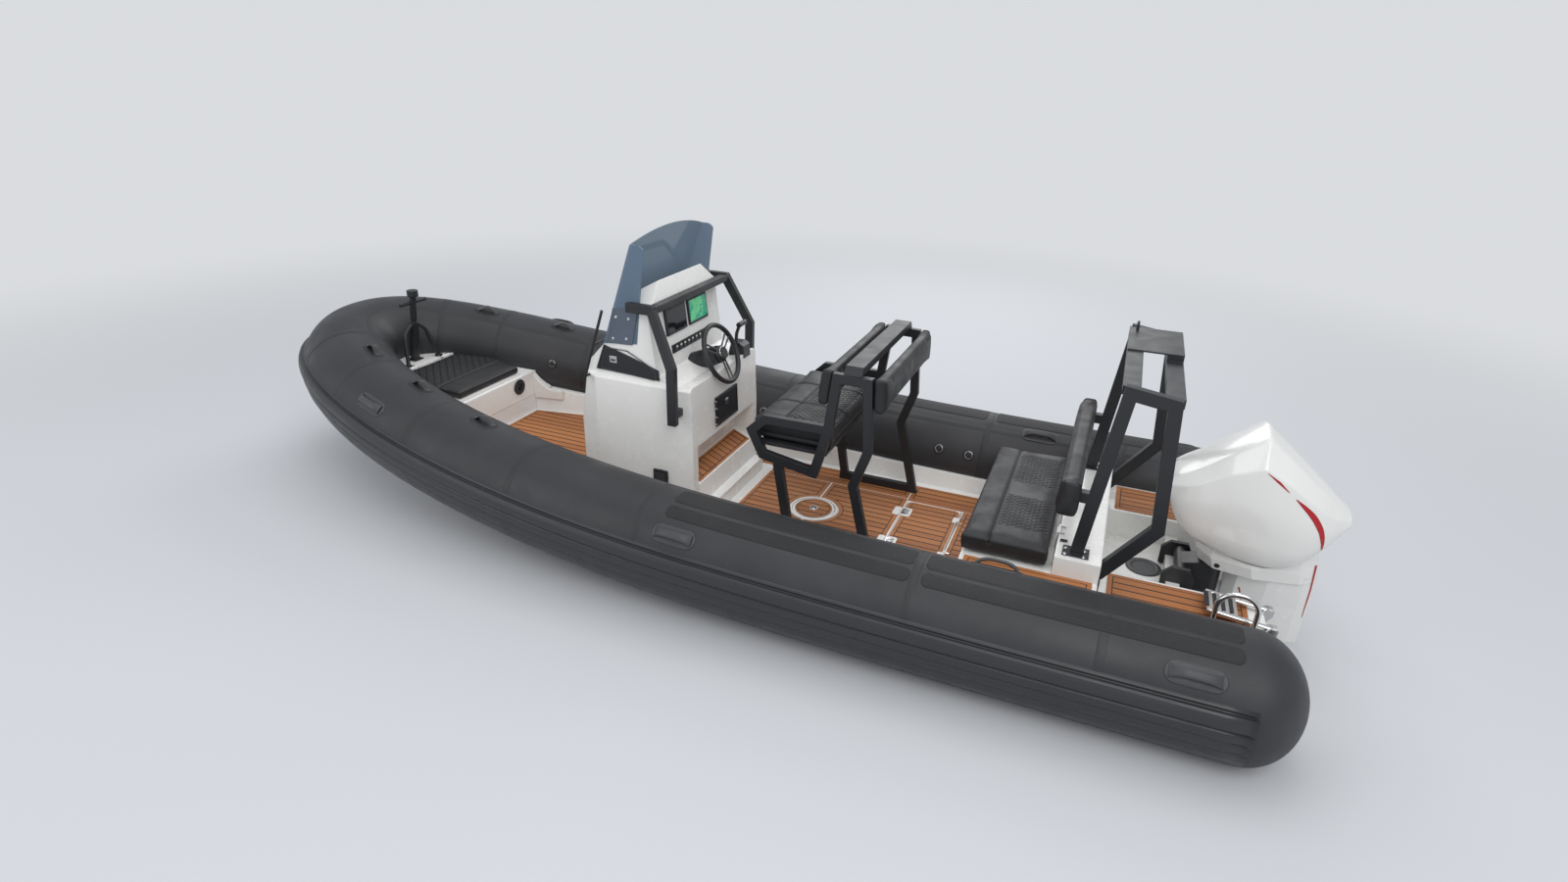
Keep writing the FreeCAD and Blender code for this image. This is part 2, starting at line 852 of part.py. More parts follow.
def loft_sections(outlines):
    wires = []
    for x, half in outlines:
        corners = [vector(x, y, z) for y, z in mirror_outline(half)]
        wires.append(Part.makePolygon(corners + corners[:1]))
    return Part.makeLoft(wires, True, True)


tube_port = tube_side()
tube_bow_port = tube_bow()
tube_forms = [tube_port, tube_bow_port, mirrored(tube_port), mirrored(tube_bow_port)]


def clear_of_tubes(shape):
    return shape.cut(tube_forms)


def biggest(shape):
    return max(shape.Solids, key=lambda solid: solid.Volume)


def fitted(form, places, trimmed):
    # One copy at each place on the port tube and the same to starboard; on the curved bow it is trimmed
    copies = [on_tube(form, *place) for place in places]
    if trimmed:
        copies = [biggest(copy.cut(tube_bow_port)) for copy in copies]
    return both_sides(group(copies))


export("tube_port", tube_port)
export("tube_starboard", mirrored(tube_port))
export("tube_bow", tube_bow_port.fuse(mirrored(tube_bow_port)))
rub_strake = strake()
export("rub_strake", rub_strake.fuse(mirrored(rub_strake)))
export("wear_patches", wear_patches())
export("grab_handles", fitted(grip(), grip_places_shares, False))
export("strap_handles", fitted(strap(), strap_places_shares, True))
export("valves", fitted(valve(), valve_places_shares, False))

aft_places = [hull_length * row[0] for row in hull_table_shares if hull_length * row[0] < locker_aft]
aft_places += [console_front, console_front + sole_ramp, locker_aft]
aft_places.sort()
bow_places = [locker_aft] + [hull_length * row[0] for row in hull_table_shares
                             if hull_length * row[0] > locker_aft]
hull = loft_sections([(x, hull_section(x, False)) for x in aft_places])
hull = hull.fuse(loft_sections([(x, hull_section(x, True)) for x in bow_places]))
hull = biggest(clear_of_tubes(hull))
deck_places = [bench_front] + [x for x in aft_places if x > bench_front]
deck = loft_sections([(x, deck_section(x)) for x in deck_places])
deck = biggest(clear_of_tubes(deck).cut(hull))

# The deck hatch drops into a rebate over a locker in the hull
hatch_front = hatch_aft + hatch_length
hatch_seat = sole_height - hatch_thick
hatch_pocket = block(hatch_aft + hatch_rebate, hatch_front - hatch_rebate, hatch_rebate - hatch_half,
                     hatch_half - hatch_rebate, sole_height - hatch_pocket_depth, sole_height + skin)
hatch_rebate_form = block(hatch_aft, hatch_front, -hatch_half, hatch_half, hatch_seat, sole_height + skin)
hull = hull.cut(hatch_pocket)
deck = deck.cut([hatch_pocket, hatch_rebate_form])

# Towing eyes: plates with a hole across the boat
def eye(x, y, z, dx, dz):
    # A lug that points along dx, dz from a place on the hull's skin
    side = (-dz, dx)
    root = [(x - dx * eye_width + side[0] * eye_height / 2, z - dz * eye_width + side[1] * eye_height / 2),
            (x - dx * eye_width - side[0] * eye_height / 2, z - dz * eye_width - side[1] * eye_height / 2)]
    tip = (x + dx * eye_reach, z + dz * eye_reach)
    plate = prism_y([root[0], (tip[0] + side[0] * eye_height / 2, tip[1] + side[1] * eye_height / 2),
                     (tip[0] - side[0] * eye_height / 2, tip[1] - side[1] * eye_height / 2), root[1]],
                    y - eye_plate_thick / 2, y + eye_plate_thick / 2)
    nose = Part.makeCylinder(eye_height / 2, eye_plate_thick, vector(tip[0], y - eye_plate_thick / 2, tip[1]),
                             vector(0, 1, 0))
    hole = Part.makeCylinder(eye_radius, eye_plate_thick * 3, vector(tip[0], y - eye_plate_thick * 1.5, tip[1]),
                             vector(0, 1, 0))
    return plate.fuse(nose).cut(hole), tip


stern_eye_form, stern_eye_tip = eye(0, stern_eye_y, stern_eye_z, -1, 0)
stem_slope = math.atan2(keel_z(bow_eye_x + eye_width) - keel_z(bow_eye_x - eye_width), eye_width * 2)
bow_eye_form, bow_eye_tip = eye(bow_eye_x, 0, keel_z(bow_eye_x), math.sin(stem_slope), -math.cos(stem_slope))
eyes = group([form.cut(hull) for form in (stern_eye_form, mirrored(stern_eye_form), bow_eye_form)])
export("towing_eyes", eyes)
print("eyes at", stern_eye_tip, bow_eye_tip)
export("hull", hull)
export("deck_moulding", deck)

# Stern moulding: platforms each side of the well, with pods that overhang the transom
hull_top = sole_height - skin
stern_half = tube_spread - curb_tuck
stern = block(0, bench_back_aft, -stern_half, stern_half, hull_top, platform_top)
for sign in (1, -1):
    pod = prism_z([(0, platform_inner * sign), (platform_aft + platform_corner, platform_inner * sign),
                   (platform_aft, (platform_inner + platform_corner) * sign), (platform_aft, stern_half * sign),
                   (0, stern_half * sign)], platform_skirt, platform_top)
    stern = stern.fuse(pod)
well = block(-cut_over, bench_back_aft, -platform_inner, platform_inner, well_floor, platform_top + cut_over)
transom_head = block(0, transom_thick, -platform_inner, platform_inner, hull_top, transom_top)
stern = biggest(clear_of_tubes(stern.cut(well).fuse(transom_head)).cut(hull)).removeSplitter()
export("stern_moulding", stern)

# Bench moulding with the locker under the lid
bench = block(bench_back_aft, bench_front, -stern_half, stern_half, hull_top, bench_ledge)
bench = bench.fuse(block(bench_back_aft, bench_back, -bench_half, bench_half, bench_ledge, bench_back_top))
bench = bench.cut(block(bench_pocket_aft, bench_pocket_front, -bench_pocket_half, bench_pocket_half,
                        bench_pocket_floor, bench_back_top))
bench = biggest(clear_of_tubes(bench).cut([hull, deck])).removeSplitter()


def hinge_parts(x, y, z, length, radius, pin, ear):
    # A knuckle on its pin across the boat: the fixed ears with the pin, and the knuckle that turns
    half = length / 2
    rod = Part.makeCylinder(pin, length + 2 * (fit_gap + ear), vector(x, y - half - fit_gap - ear, z),
                            vector(0, 1, 0))
    ears = [Part.makeCylinder(radius, ear, vector(x, start, z), vector(0, 1, 0))
            for start in (y - half - fit_gap - ear, y + half + fit_gap)]
    knuckle = Part.makeCylinder(radius, length, vector(x, y - half, z), vector(0, 1, 0))
    knuckle = knuckle.cut(Part.makeCylinder(pin + bore_clearance, length, vector(x, y - half, z),
                                            vector(0, 1, 0)))
    return rod.multiFuse(ears), knuckle


# Bench lid: its flange stands up behind the cushion and turns at the block's top edge
bench_hinge_x = bench_back + hinge_radius - bench_cushion_gap / 2
bench_hinge_z = bench_back_top + hinge_radius + fit_gap
lid_aft = bench_back + move_gap
lid_front = bench_pocket_front + bench_lid_lap
lid_bottom = bench_ledge + fit_gap
lid_half = bench_pocket_half + bench_lid_lap
flange_thick = hinge_radius
bench_lid = block(lid_aft, lid_front, -lid_half, lid_half, lid_bottom, lid_bottom + bench_lid_thick)
bench_hinges = []
for sign in (1, -1):
    y = hinge_spread * sign
    fixed, knuckle = hinge_parts(bench_hinge_x, y, bench_hinge_z, hinge_length, hinge_radius, hinge_pin, hinge_ear)
    for start in (y - hinge_length / 2 - fit_gap - hinge_ear, y + hinge_length / 2 + fit_gap):
        fixed = fixed.fuse(block(bench_back - hinge_foot, bench_hinge_x, start, start + hinge_ear,
                                 bench_back_top, bench_hinge_z))
    fixed = fixed.cut(bench)
    bench_hinges.append(fixed)
    strap_form = block(lid_aft, lid_aft + flange_thick, y - hinge_length / 2, y + hinge_length / 2, lid_bottom,
                       bench_hinge_z)
    hole = Part.makeCylinder(hinge_pin + bore_clearance, hinge_length, vector(bench_hinge_x, y - hinge_length / 2,
                                                                            bench_hinge_z), vector(0, 1, 0))
    bench_lid = bench_lid.fuse([strap_form, knuckle]).cut(hole)
export("bench_moulding", bench)
export("bench_lid", bench_lid)
cushion_aft = lid_aft + flange_thick + fit_gap
cushion_low = lid_bottom + bench_lid_thick + fit_gap
bench_cushion = block(cushion_aft, bench_front + bench_cushion_over, -bench_half, bench_half, cushion_low,
                      cushion_low + bench_cushion_thick)
bench_cushion = bench_cushion.makeFillet(round_cushion, bench_cushion.Edges)
export("bench_cushion", bench_cushion)
print("bench hinge", bench_hinge_x, bench_hinge_z)

# Foredeck and bow locker
roof_front = tube_z(locker_front) - seat_drop
roof_aft = tube_z(locker_aft) - seat_drop
foredeck = block(locker_front, foredeck_front, -bow_block_half, bow_block_half, roof_front, foredeck_top)
foredeck = biggest(clear_of_tubes(foredeck.cut(hull)))
locker = prism_y([(locker_aft, roof_aft), (locker_aft, locker_top_aft), (locker_front, locker_top_front),
                  (locker_front, roof_aft)], -bow_block_half, bow_block_half)

# The curb sweeps up to the locker's top each side
sweep_start = locker_aft - sweep_run
sweep_low = curb_z(sweep_start)
sweep_rise = locker_top_aft - sweep_drop - sweep_low
sweep_side = [(sweep_start + sweep_run * share, sweep_low + sweep_rise * share ** 3) for share in sweep_shares]
sweep_side = [(sweep_start, sweep_low - sweep_sink)] + sweep_side + [(locker_aft, sweep_low - sweep_sink)]
sweep_plan = [(sweep_start, sole_half(sweep_start)), (locker_aft, sole_half(locker_aft)),
              (locker_aft, bow_block_half), (sweep_start, bow_block_half)]
sweep = prism_z(sweep_plan, hull_top, foredeck_top).common(prism_y(sweep_side, 0, bow_block_half))
locker = locker.fuse([sweep, mirrored(sweep)])
locker = biggest(clear_of_tubes(locker.cut([hull, deck])))
locker_slope = math.degrees(math.atan2(locker_top_front - locker_top_aft, locker_front - locker_aft))


def on_locker(shape):
    # Work flat on the locker's top edge, then lean with its slope
    placed = shape.copy()
    placed.rotate(vector(0, 0, 0), vector(0, 1, 0), -locker_slope)
    placed.translate(vector(locker_aft, 0, locker_top_aft))
    return placed


slope_run = (locker_front - locker_aft) / math.cos(math.radians(locker_slope))
lid_run = slope_run - bow_lid_margin - bow_lid_step
hexagon = [(bow_lid_margin, -bow_lid_half_aft), (bow_lid_margin + lid_run * bow_lid_mid_share, -bow_lid_half_mid),
           (bow_lid_margin + lid_run, -bow_lid_half_front), (bow_lid_margin + lid_run, bow_lid_half_front),
           (bow_lid_margin + lid_run * bow_lid_mid_share, bow_lid_half_mid), (bow_lid_margin, bow_lid_half_aft)]
middle_u = bow_lid_margin + lid_run / 2
pocket_outline = [(middle_u + (u - middle_u) * bow_pocket_share, y * bow_pocket_share) for u, y in hexagon]
pocket = on_locker(prism_z(pocket_outline, -bow_pocket_depth, bow_pocket_depth))
locker = locker.cut(pocket)
bow_lid = on_locker(prism_z(hexagon, fit_gap, fit_gap + bow_lid_thick))
cushion_bottom = fit_gap * 2 + bow_lid_thick
bow_cushion = prism_z(hexagon, cushion_bottom, cushion_bottom + bow_cushion_thick)
bow_cushion = on_locker(bow_cushion.makeFillet(round_cushion * 0.8, bow_cushion.Edges))
bow_hinge_x = locker_front - bow_lid_step / 2
bow_hinge_z = foredeck_top + hinge_radius + fit_gap
bow_hinges = []
for sign in (1, -1):
    y = bow_hinge_spread * sign
    fixed, knuckle = hinge_parts(bow_hinge_x, y, bow_hinge_z, hinge_length, hinge_radius, hinge_pin, hinge_ear)
    for start in (y - hinge_length / 2 - fit_gap - hinge_ear, y + hinge_length / 2 + fit_gap):
        fixed = fixed.fuse(block(bow_hinge_x, locker_front + hinge_foot, start, start + hinge_ear,
                                 foredeck_top, bow_hinge_z))
    bow_hinges.append(fixed.cut(foredeck))
    front_x = locker_aft + (bow_lid_margin + lid_run) * math.cos(math.radians(locker_slope))
    tongue = block(front_x, front_x + flange_thick, y - hinge_length / 2, y + hinge_length / 2,
                   locker_top_front, bow_hinge_z)
    tongue = tongue.fuse(block(front_x - bow_tongue_root, front_x + flange_thick, y - hinge_length / 2,
                               y + hinge_length / 2, locker_top_front, locker_top_front + flange_thick))
    arm = prism_y([(front_x, bow_hinge_z - hinge_radius), (bow_hinge_x, bow_hinge_z - hinge_radius),
                   (bow_hinge_x, bow_hinge_z), (front_x, bow_hinge_z)], y - hinge_length / 2, y + hinge_length / 2)
    hole = Part.makeCylinder(hinge_pin + bore_clearance, hinge_length, vector(bow_hinge_x, y - hinge_length / 2,
                                                                            bow_hinge_z), vector(0, 1, 0))
    bow_lid = bow_lid.fuse([tongue, arm, knuckle]).cut([hole, locker])
    bow_cushion = bow_cushion.cut(block(front_x - bow_tongue_root - move_gap, front_x + flange_thick * 2,
                                        y - hinge_length / 2 - fit_gap, y + hinge_length / 2 + fit_gap,
                                        locker_top_front - flange_thick, locker_top_front + flange_thick * 2))
export("foredeck", foredeck)
export("bow_locker", locker)
export("bow_lid", biggest(bow_lid))
export("bow_cushion", biggest(bow_cushion.cut(bow_lid)))
print("bow hinge", bow_hinge_x, bow_hinge_z)

# Deck hatch lid with the hinge on the sole behind it
hatch_lid = block(hatch_aft + move_gap, hatch_front - move_gap, move_gap - hatch_half, hatch_half - move_gap,
                  hatch_seat + fit_gap, sole_height + cover_thick)
hatch_hinge_x = hatch_aft - hinge_radius * hatch_hinge_share
hatch_hinge_z = sole_height + cover_thick + hinge_radius
hatch_hinges = []
for sign in (1, -1):
    y = hatch_hinge_spread * sign
    fixed, knuckle = hinge_parts(hatch_hinge_x, y, hatch_hinge_z, hinge_length, hinge_radius, hinge_pin, hinge_ear)
    for start in (y - hinge_length / 2 - fit_gap - hinge_ear, y + hinge_length / 2 + fit_gap):
        fixed = fixed.fuse(block(hatch_hinge_x - hinge_foot, hatch_hinge_x, start, start + hinge_ear,
                                 sole_height, hatch_hinge_z))
    hatch_hinges.append(fixed)
    leaf = block(hatch_hinge_x, hatch_aft + move_gap + hinge_foot, y - hinge_length / 2, y + hinge_length / 2,
                 sole_height + cover_thick, sole_height + cover_thick + hinge_radius)
    hole = Part.makeCylinder(hinge_pin + bore_clearance, hinge_length, vector(hatch_hinge_x, y - hinge_length / 2,
                                                                            hatch_hinge_z), vector(0, 1, 0))
    hatch_lid = hatch_lid.fuse([leaf, knuckle]).cut(hole)
export("deck_hatch", hatch_lid)
print("hatch hinge", hatch_hinge_x, hatch_hinge_z)

# Console: side outline, front outline and plan met in one body, then the foot recess and the tread
console_base = sole_height
console_height = console_top - console_base
dash_x = console_aft + console_length * dash_share[0]
dash_z = console_base + console_height * dash_share[1]

# What is seated on the console, or stands before it, takes its place from the console's
wheel_x = dash_x - wheel_reach
wheel_z = dash_z + wheel_rise
throttle_x = console_aft + throttle_setback
vent_x = console_aft + vent_setback
side_panel_x = console_aft + console_length * side_panel_span_shares[0]
side_panel_length = console_length * side_panel_span_shares[1]
screen_aft = console_aft + console_length * screen_span_shares[0]
screen_length = console_length * screen_span_shares[1]
rail_foot_x = console_aft + rail_foot_setback
rail_top_x = dash_x - rail_top_reach
rail_stub = console_length * rail_stub_share
side_rail_top_x = console_aft + console_length * side_rail_x_shares[0]
side_rail_low_x = console_aft + console_length * side_rail_x_shares[1]
seat_x = console_aft - seat_setback
seat_cushion_aft = seat_x + seat_cushion_set
seat_cushion_front = seat_cushion_aft + seat_cushion_length
cover_front = console_aft - cover_front_gap
side = spread(console_side_shares, console_aft, console_length, console_base, console_height)
console = prism_y(side, -console_half, console_half)
front_view = [(console_half * wide, console_base + console_height * rise) for wide, rise in console_front_shares]
console = console.common(prism_x([(-y, z) for y, z in front_view] + front_view[::-1],
                                 console_aft - cut_over * 3, console_front + cut_over))
plan = [(console_aft - console_length + console_length * 2 * along, console_half * wide)
        for along, wide in console_plan_shares]
console = console.common(prism_z(plan + [(x, -y) for x, y in plan[::-1]], console_base, console_top + cut_over))
recess = prism_y(spread(recess_shares, console_aft, console_length, console_base, console_height),
                 -foot_recess_half, foot_recess_half)
console = console.cut(recess)
tread = prism_y(spread(tread_shares, console_aft, console_length, console_base, console_height),
                -tread_half, tread_half)
console = console.fuse(tread)
face_lean = math.degrees(math.atan2(aft_face_run, aft_face_tall))
ridge_z = console_base + console_height * ridge_share


def on_aft_face(shape):
    placed = shape.copy()
    placed.rotate(vector(0, 0, 0), vector(0, 1, 0), face_lean)
    placed.translate(vector(console_aft, 0, ridge_z))
    return placed


door_y0 = door_offset - door_half
door_y1 = door_offset + door_half
door_pocket = on_aft_face(block(-cut_over, door_pocket_depth, door_y0 + door_lap, door_y1 - door_lap,
                                door_low + door_lap, door_high - door_lap))
console = console.cut(door_pocket)
door = on_aft_face(block(-fit_gap - door_thick, -fit_gap, door_y0, door_y1, door_low, door_high))
door_hinge_x = -fit_gap - door_thick - door_pin
door_hinge_y = door_y1 + door_barrel + fit_gap
door_ears = []
for middle in (lerp(door_low, door_high, 0.22), lerp(door_low, door_high, 0.78)):
    half = door_knuckle / 2
    stem = Part.makeCylinder(door_pin, door_knuckle + 2 * (fit_gap + hinge_ear),
                             vector(door_hinge_x, door_hinge_y, middle - half - fit_gap - hinge_ear))
    ears = []
    for low in (middle - half - fit_gap - hinge_ear, middle + half + fit_gap):
        ears.append(Part.makeCylinder(door_barrel, hinge_ear, vector(door_hinge_x, door_hinge_y, low)))
        ears.append(block(door_hinge_x, 0, door_hinge_y, door_hinge_y + door_barrel, low, low + hinge_ear))
    door_ears.append(on_aft_face(stem.multiFuse(ears)).cut(console))
    barrel = Part.makeCylinder(door_barrel, door_knuckle, vector(door_hinge_x, door_hinge_y, middle - half))
    arm = block(door_hinge_x - door_barrel, door_hinge_x, door_y1 - door_barrel * 2, door_hinge_y, middle - half,
                middle + half)
    pad = block(door_hinge_x - door_barrel, -fit_gap - door_thick, door_y1 - door_barrel * 2, door_y1,
                middle - half, middle + half)
    bore = Part.makeCylinder(door_pin + bore_clearance, door_knuckle, vector(door_hinge_x, door_hinge_y,
                                                                          middle - half))
    door = door.fuse([on_aft_face(piece) for piece in (barrel, arm, pad)]).cut(on_aft_face(bore))
export("console", biggest(console))
export("console_door", door)
export("lid_hinges", group(bench_hinges + bow_hinges + hatch_hinges + door_ears))
hinge_foot_point = on_aft_face(Part.Vertex(door_hinge_x, door_hinge_y, (door_low + door_high) / 2)).Point
print("door hinge", [round(value, 2) for value in hinge_foot_point], "lean", round(face_lean, 3))

# Dash: displays, switch panel, and the wheel's boss and shaft
dash_lean = math.degrees(math.atan2(dash_run, dash_tall))


def on_dash(shape):
    placed = shape.copy()
    placed.rotate(vector(0, 0, 0), vector(0, 1, 0), dash_lean)
    placed.translate(vector(dash_x, 0, dash_z))
    return placed


panels = []
for sign in (1, -1):
    inner = display_half_gap * sign
    outer = (display_half_gap + display_width) * sign
    panel = block(-display_proud, 0, min(inner, outer), max(inner, outer), display_low, display_low + display_height)
    panels.append(on_dash(panel.makeFillet(round_small / 2, [edge for edge in panel.Edges if
                                                             edge.BoundBox.XLength > display_proud / 2])))
panels.append(on_dash(block(-display_proud / 2, 0, -switch_width / 2, switch_width / 2, switch_low,
                            switch_low + switch_height)))
side_panel = prism_y(spread(side_panel_shares, side_panel_x, side_panel_length, side_panel_low,
                            side_panel_high - side_panel_low), shoulder_half, shoulder_half + side_panel_proud)
panels.append(side_panel)
vent = Part.makeCylinder(vent_radius, vent_proud, vector(vent_x, console_half, vent_z), vector(0, 1, 0))
vent = vent.cut(Part.makeCylinder(vent_radius * 0.8, vent_proud, vector(vent_x, console_half + vent_proud / 2, vent_z),
                                  vector(0, 1, 0)))
panels.append(vent)
export("console_fittings", group([panel.cut(console) for panel in panels]))

# Throttle box on the starboard shoulder, with its lever
throttle_box = prism_y(spread(throttle_shares, throttle_x, throttle_length, throttle_low, throttle_height),
                       throttle_y - throttle_width / 2, throttle_y + throttle_width / 2)
lever = flat_bar([(throttle_x + throttle_length / 2, throttle_low + throttle_height * 0.6),
                  (throttle_x + throttle_length * 0.42, throttle_low + throttle_height + lever_length * 0.55),
                  (throttle_x + throttle_length * 0.25, throttle_low + throttle_height + lever_length)],
                 lever_thick, throttle_y + throttle_width / 2 + lever_thick / 2, lever_thick)
knob = Part.makeCylinder(lever_thick, throttle_width, vector(throttle_x + throttle_length * 0.25,
                                                            throttle_y - throttle_width / 4,
                                                            throttle_low + throttle_height + lever_length),
                         vector(0, 1, 0))
export("throttle", throttle_box.fuse([lever, knob]).cut(console))

# Steering wheel on its shaft, square to a column that leans back from the dash
column = vector(-math.cos(math.radians(wheel_lean)), 0, math.sin(math.radians(wheel_lean)))
hub_start = vector(wheel_x, 0, wheel_z)
boss_root = hub_start - column * (boss_length + boss_radius + fit_gap)
boss = Part.makeCone(boss_radius, boss_radius * boss_taper_share, boss_length + boss_radius, boss_root, column)
shaft = Part.makeCylinder(shaft_radius, hub_length + shaft_cap + fit_gap * 2, hub_start - column * fit_gap, column)
cap = Part.makeCylinder(wheel_hub_radius * 0.7, shaft_cap, hub_start + column * (hub_length + fit_gap), column)
export("helm_boss", boss.fuse([shaft, cap]).cut(console))
print("wheel centre", hub_start, column)
rim_centre = hub_start + column * (hub_length * rim_share)
rim = Part.makeTorus(wheel_radius, wheel_rim, rim_centre, column)
hub = Part.makeCylinder(wheel_hub_radius, hub_length, hub_start, column)
wheel_parts = [rim]
in_plane = column.cross(vector(0, 1, 0)).normalize()
for number in range(wheel_spokes):
    angle = 2 * math.pi * number / wheel_spokes
    direction = in_plane * math.cos(angle) + vector(0, 1, 0) * math.sin(angle)
    start = hub_start + column * (hub_length / 2) + direction * (wheel_hub_radius / 2)
    wheel_parts.append(straight_rod(tuple(start), tuple(rim_centre + direction * wheel_radius), spoke_radius))
hub_bore = Part.makeCylinder(shaft_radius + bore_clearance, hub_length * 2, hub_start - column * (hub_length / 2),
                             column)
export("steering_wheel", hub.fuse(wheel_parts).cut(hub_bore))

# Windscreen: a raked front with a crowned top, and a return each side, seated on the console
def screen_form(aft_shift, half):
    outline = [(x - aft_shift, z) for x, z in spread(screen_side_shares, screen_aft, screen_length, screen_low,
                                                      screen_tall)]
    return prism_y(outline, -half, half)


screen = screen_form(0, screen_half).cut(screen_form(screen_thick / math.cos(math.radians(screen_rake)),
                                                     screen_half - screen_thick))
crown = Part.Face(Part.Wire([
    Part.Arc(vector(screen_aft - cut_over, -screen_half, screen_corner), vector(screen_aft - cut_over, 0, screen_top),
             vector(screen_aft - cut_over, screen_half, screen_corner)).toShape(),
    Part.LineSegment(vector(screen_aft - cut_over, screen_half, screen_corner),
                     vector(screen_aft - cut_over, screen_half, console_base)).toShape(),
    Part.LineSegment(vector(screen_aft - cut_over, screen_half, console_base),
                     vector(screen_aft - cut_over, -screen_half, console_base)).toShape(),
    Part.LineSegment(vector(screen_aft - cut_over, -screen_half, console_base),
                     vector(screen_aft - cut_over, -screen_half, screen_corner)).toShape()]))
screen = screen.common(crown.extrude(vector(screen_length * 2, 0, 0)))
# The returns' aft top corners are rounded
corner_x = screen_aft + screen_thick
corner = block(screen_aft - cut_over, corner_x + screen_round, -cut_over * 10, cut_over * 10, screen_corner - screen_round,
               screen_corner + cut_over)
corner = corner.cut(Part.makeCylinder(screen_round, cut_over * 20, vector(corner_x + screen_round, -cut_over * 10,
                                                                         screen_corner - screen_round),
                                      vector(0, 1, 0)))
screen = screen.cut(corner)
export("windscreen", biggest(screen.cut(console)))


def bar(points, width, depth):
    # A mitred bar along a line of points; the width lies across the boat, the depth in the side view
    corners = [vector(*point) for point in points]
    across = vector(0, 1, 0)
    wires = []
    for index, corner in enumerate(corners):
        normals = []
        if index > 0:
            normals.append((corner - corners[index - 1]).normalize().cross(across).normalize())
        if index < len(corners) - 1:
            normals.append((corners[index + 1] - corner).normalize().cross(across).normalize())
        normal = normals[0]
        if len(normals) > 1:
            normal = (normals[0] + normals[1]) * (1 / (1 + normals[0].dot(normals[1])))
        quad = [corner + across * (width / 2 * a) + normal * (depth / 2 * b)
                for a, b in ((1, 1), (-1, 1), (-1, -1), (1, -1))]
        wires.append(Part.makePolygon(quad + quad[:1]))
    return Part.makeLoft(wires, True, True)


# Grab rail round the screen and the thin rails along the console's sides
rail_side = bar([(rail_foot_x, rail_foot_half, rail_foot_z), (rail_foot_x, rail_foot_half, rail_knee_z),
                 (rail_top_x, rail_top_half, rail_top_z), (rail_top_x + rail_stub, rail_top_half, rail_top_z)],
                rail_depth, rail_width)
foot_block = block(rail_foot_x - rail_width / 2, rail_foot_x + rail_width / 2, console_half, rail_foot_half,
                   rail_foot_z + rail_bracket, rail_foot_z + rail_bracket * 2)
rail_side = rail_side.fuse(foot_block)
rail_cross = block(rail_top_x - rail_width / 2, rail_top_x + rail_width / 2, -rail_top_half, rail_top_half,
                   rail_top_z - rail_depth / 2, rail_top_z + rail_depth / 2)
rail_pads = []
for sign in (1, -1):
    low = shoulder_half * sign
    high = rail_top_half * sign
    rail_pads.append(block(rail_top_x + rail_stub - rail_bracket, rail_top_x + rail_stub, min(low, high), max(low, high),
                           rail_top_z - rail_depth / 2, rail_top_z + rail_depth / 2))
grab_rail = rail_side.fuse([mirrored(rail_side), rail_cross] + rail_pads)
grab_rail = grab_rail.cut([console, screen])
rail_low = vector(side_rail_low_x, side_rail_half, side_rail_low_z)
rail_high = vector(side_rail_top_x, side_rail_half, side_rail_top_z)
side_rail = straight_rod(tuple(rail_low), tuple(rail_high), side_rail_radius)
posts = []
for share in side_rail_post_shares:
    spot = rail_low + (rail_high - rail_low) * share
    posts.append(straight_rod((spot.x, shoulder_half - console_half / 4, spot.z), tuple(spot), side_rail_radius * 0.9))
side_rail = side_rail.fuse(posts).cut(console)
export("console_rails", group([grab_rail, side_rail, mirrored(side_rail)]))

# Helm seat
seat_base = sole_height + cover_thick


def seat_point(share):
    return (seat_x + seat_length * share[0], seat_base + seat_tall * share[1])


skid = [seat_point(share) for share in seat_leg_shares]
arm_line = [seat_point(share) for share in seat_arm_shares]
front_leg = [seat_point(share) for share in seat_front_leg_shares]
seat_side = flat_bar(skid, seat_bar, seat_half, seat_bar_thick)
seat_side = seat_side.fuse([flat_bar(arm_line, seat_bar, seat_half, seat_bar_thick),
                            flat_bar(front_leg, seat_bar, seat_half, seat_bar_thick)])
seat_side = seat_side.cut(block(seat_x - seat_length, seat_x + seat_length * 2, 0, seat_half * 2,
                                seat_base - seat_bar * 4, seat_base)).removeSplitter()
pan = prism_y([seat_point(share) for share in seat_pan_shares], -(seat_half - seat_bar_thick / 2),
              seat_half - seat_bar_thick / 2)
beam_low = seat_base + seat_tall * seat_leg_shares[-2][1] + seat_bar / 2
beam_x = seat_x + seat_length * seat_beam_share
beam_half = seat_half + seat_bar_thick / 2
beam = prism_x([(-beam_half, beam_low), (-beam_half + seat_beam_slope / 2, beam_low + seat_beam_height),
                (beam_half - seat_beam_slope / 2, beam_low + seat_beam_height), (beam_half, beam_low)],
               beam_x - seat_beam_width / 2, beam_x + seat_beam_width / 2)
export("seat_pan", pan)
export("seat_frame", seat_side.fuse([mirrored(seat_side), beam]))
pan_top = seat_base + seat_tall * seat_pan_shares[0][1]
seat_cushion = block(seat_cushion_aft, seat_cushion_front, -seat_pad_half, seat_pad_half, pan_top + fit_gap,
                     pan_top + fit_gap + seat_cushion_thick)
export("seat_cushion", seat_cushion.makeFillet(round_cushion, seat_cushion.Edges))


def post_face(low, high, side, z):
    # Where the face of a leaning frame post stands at a height
    run = math.hypot(high[0] - low[0], high[1] - low[1])
    share = (z - low[1]) / (high[1] - low[1])
    return lerp(low[0], high[0], share) + side * (seat_bar / 2) * run / abs(high[1] - low[1])


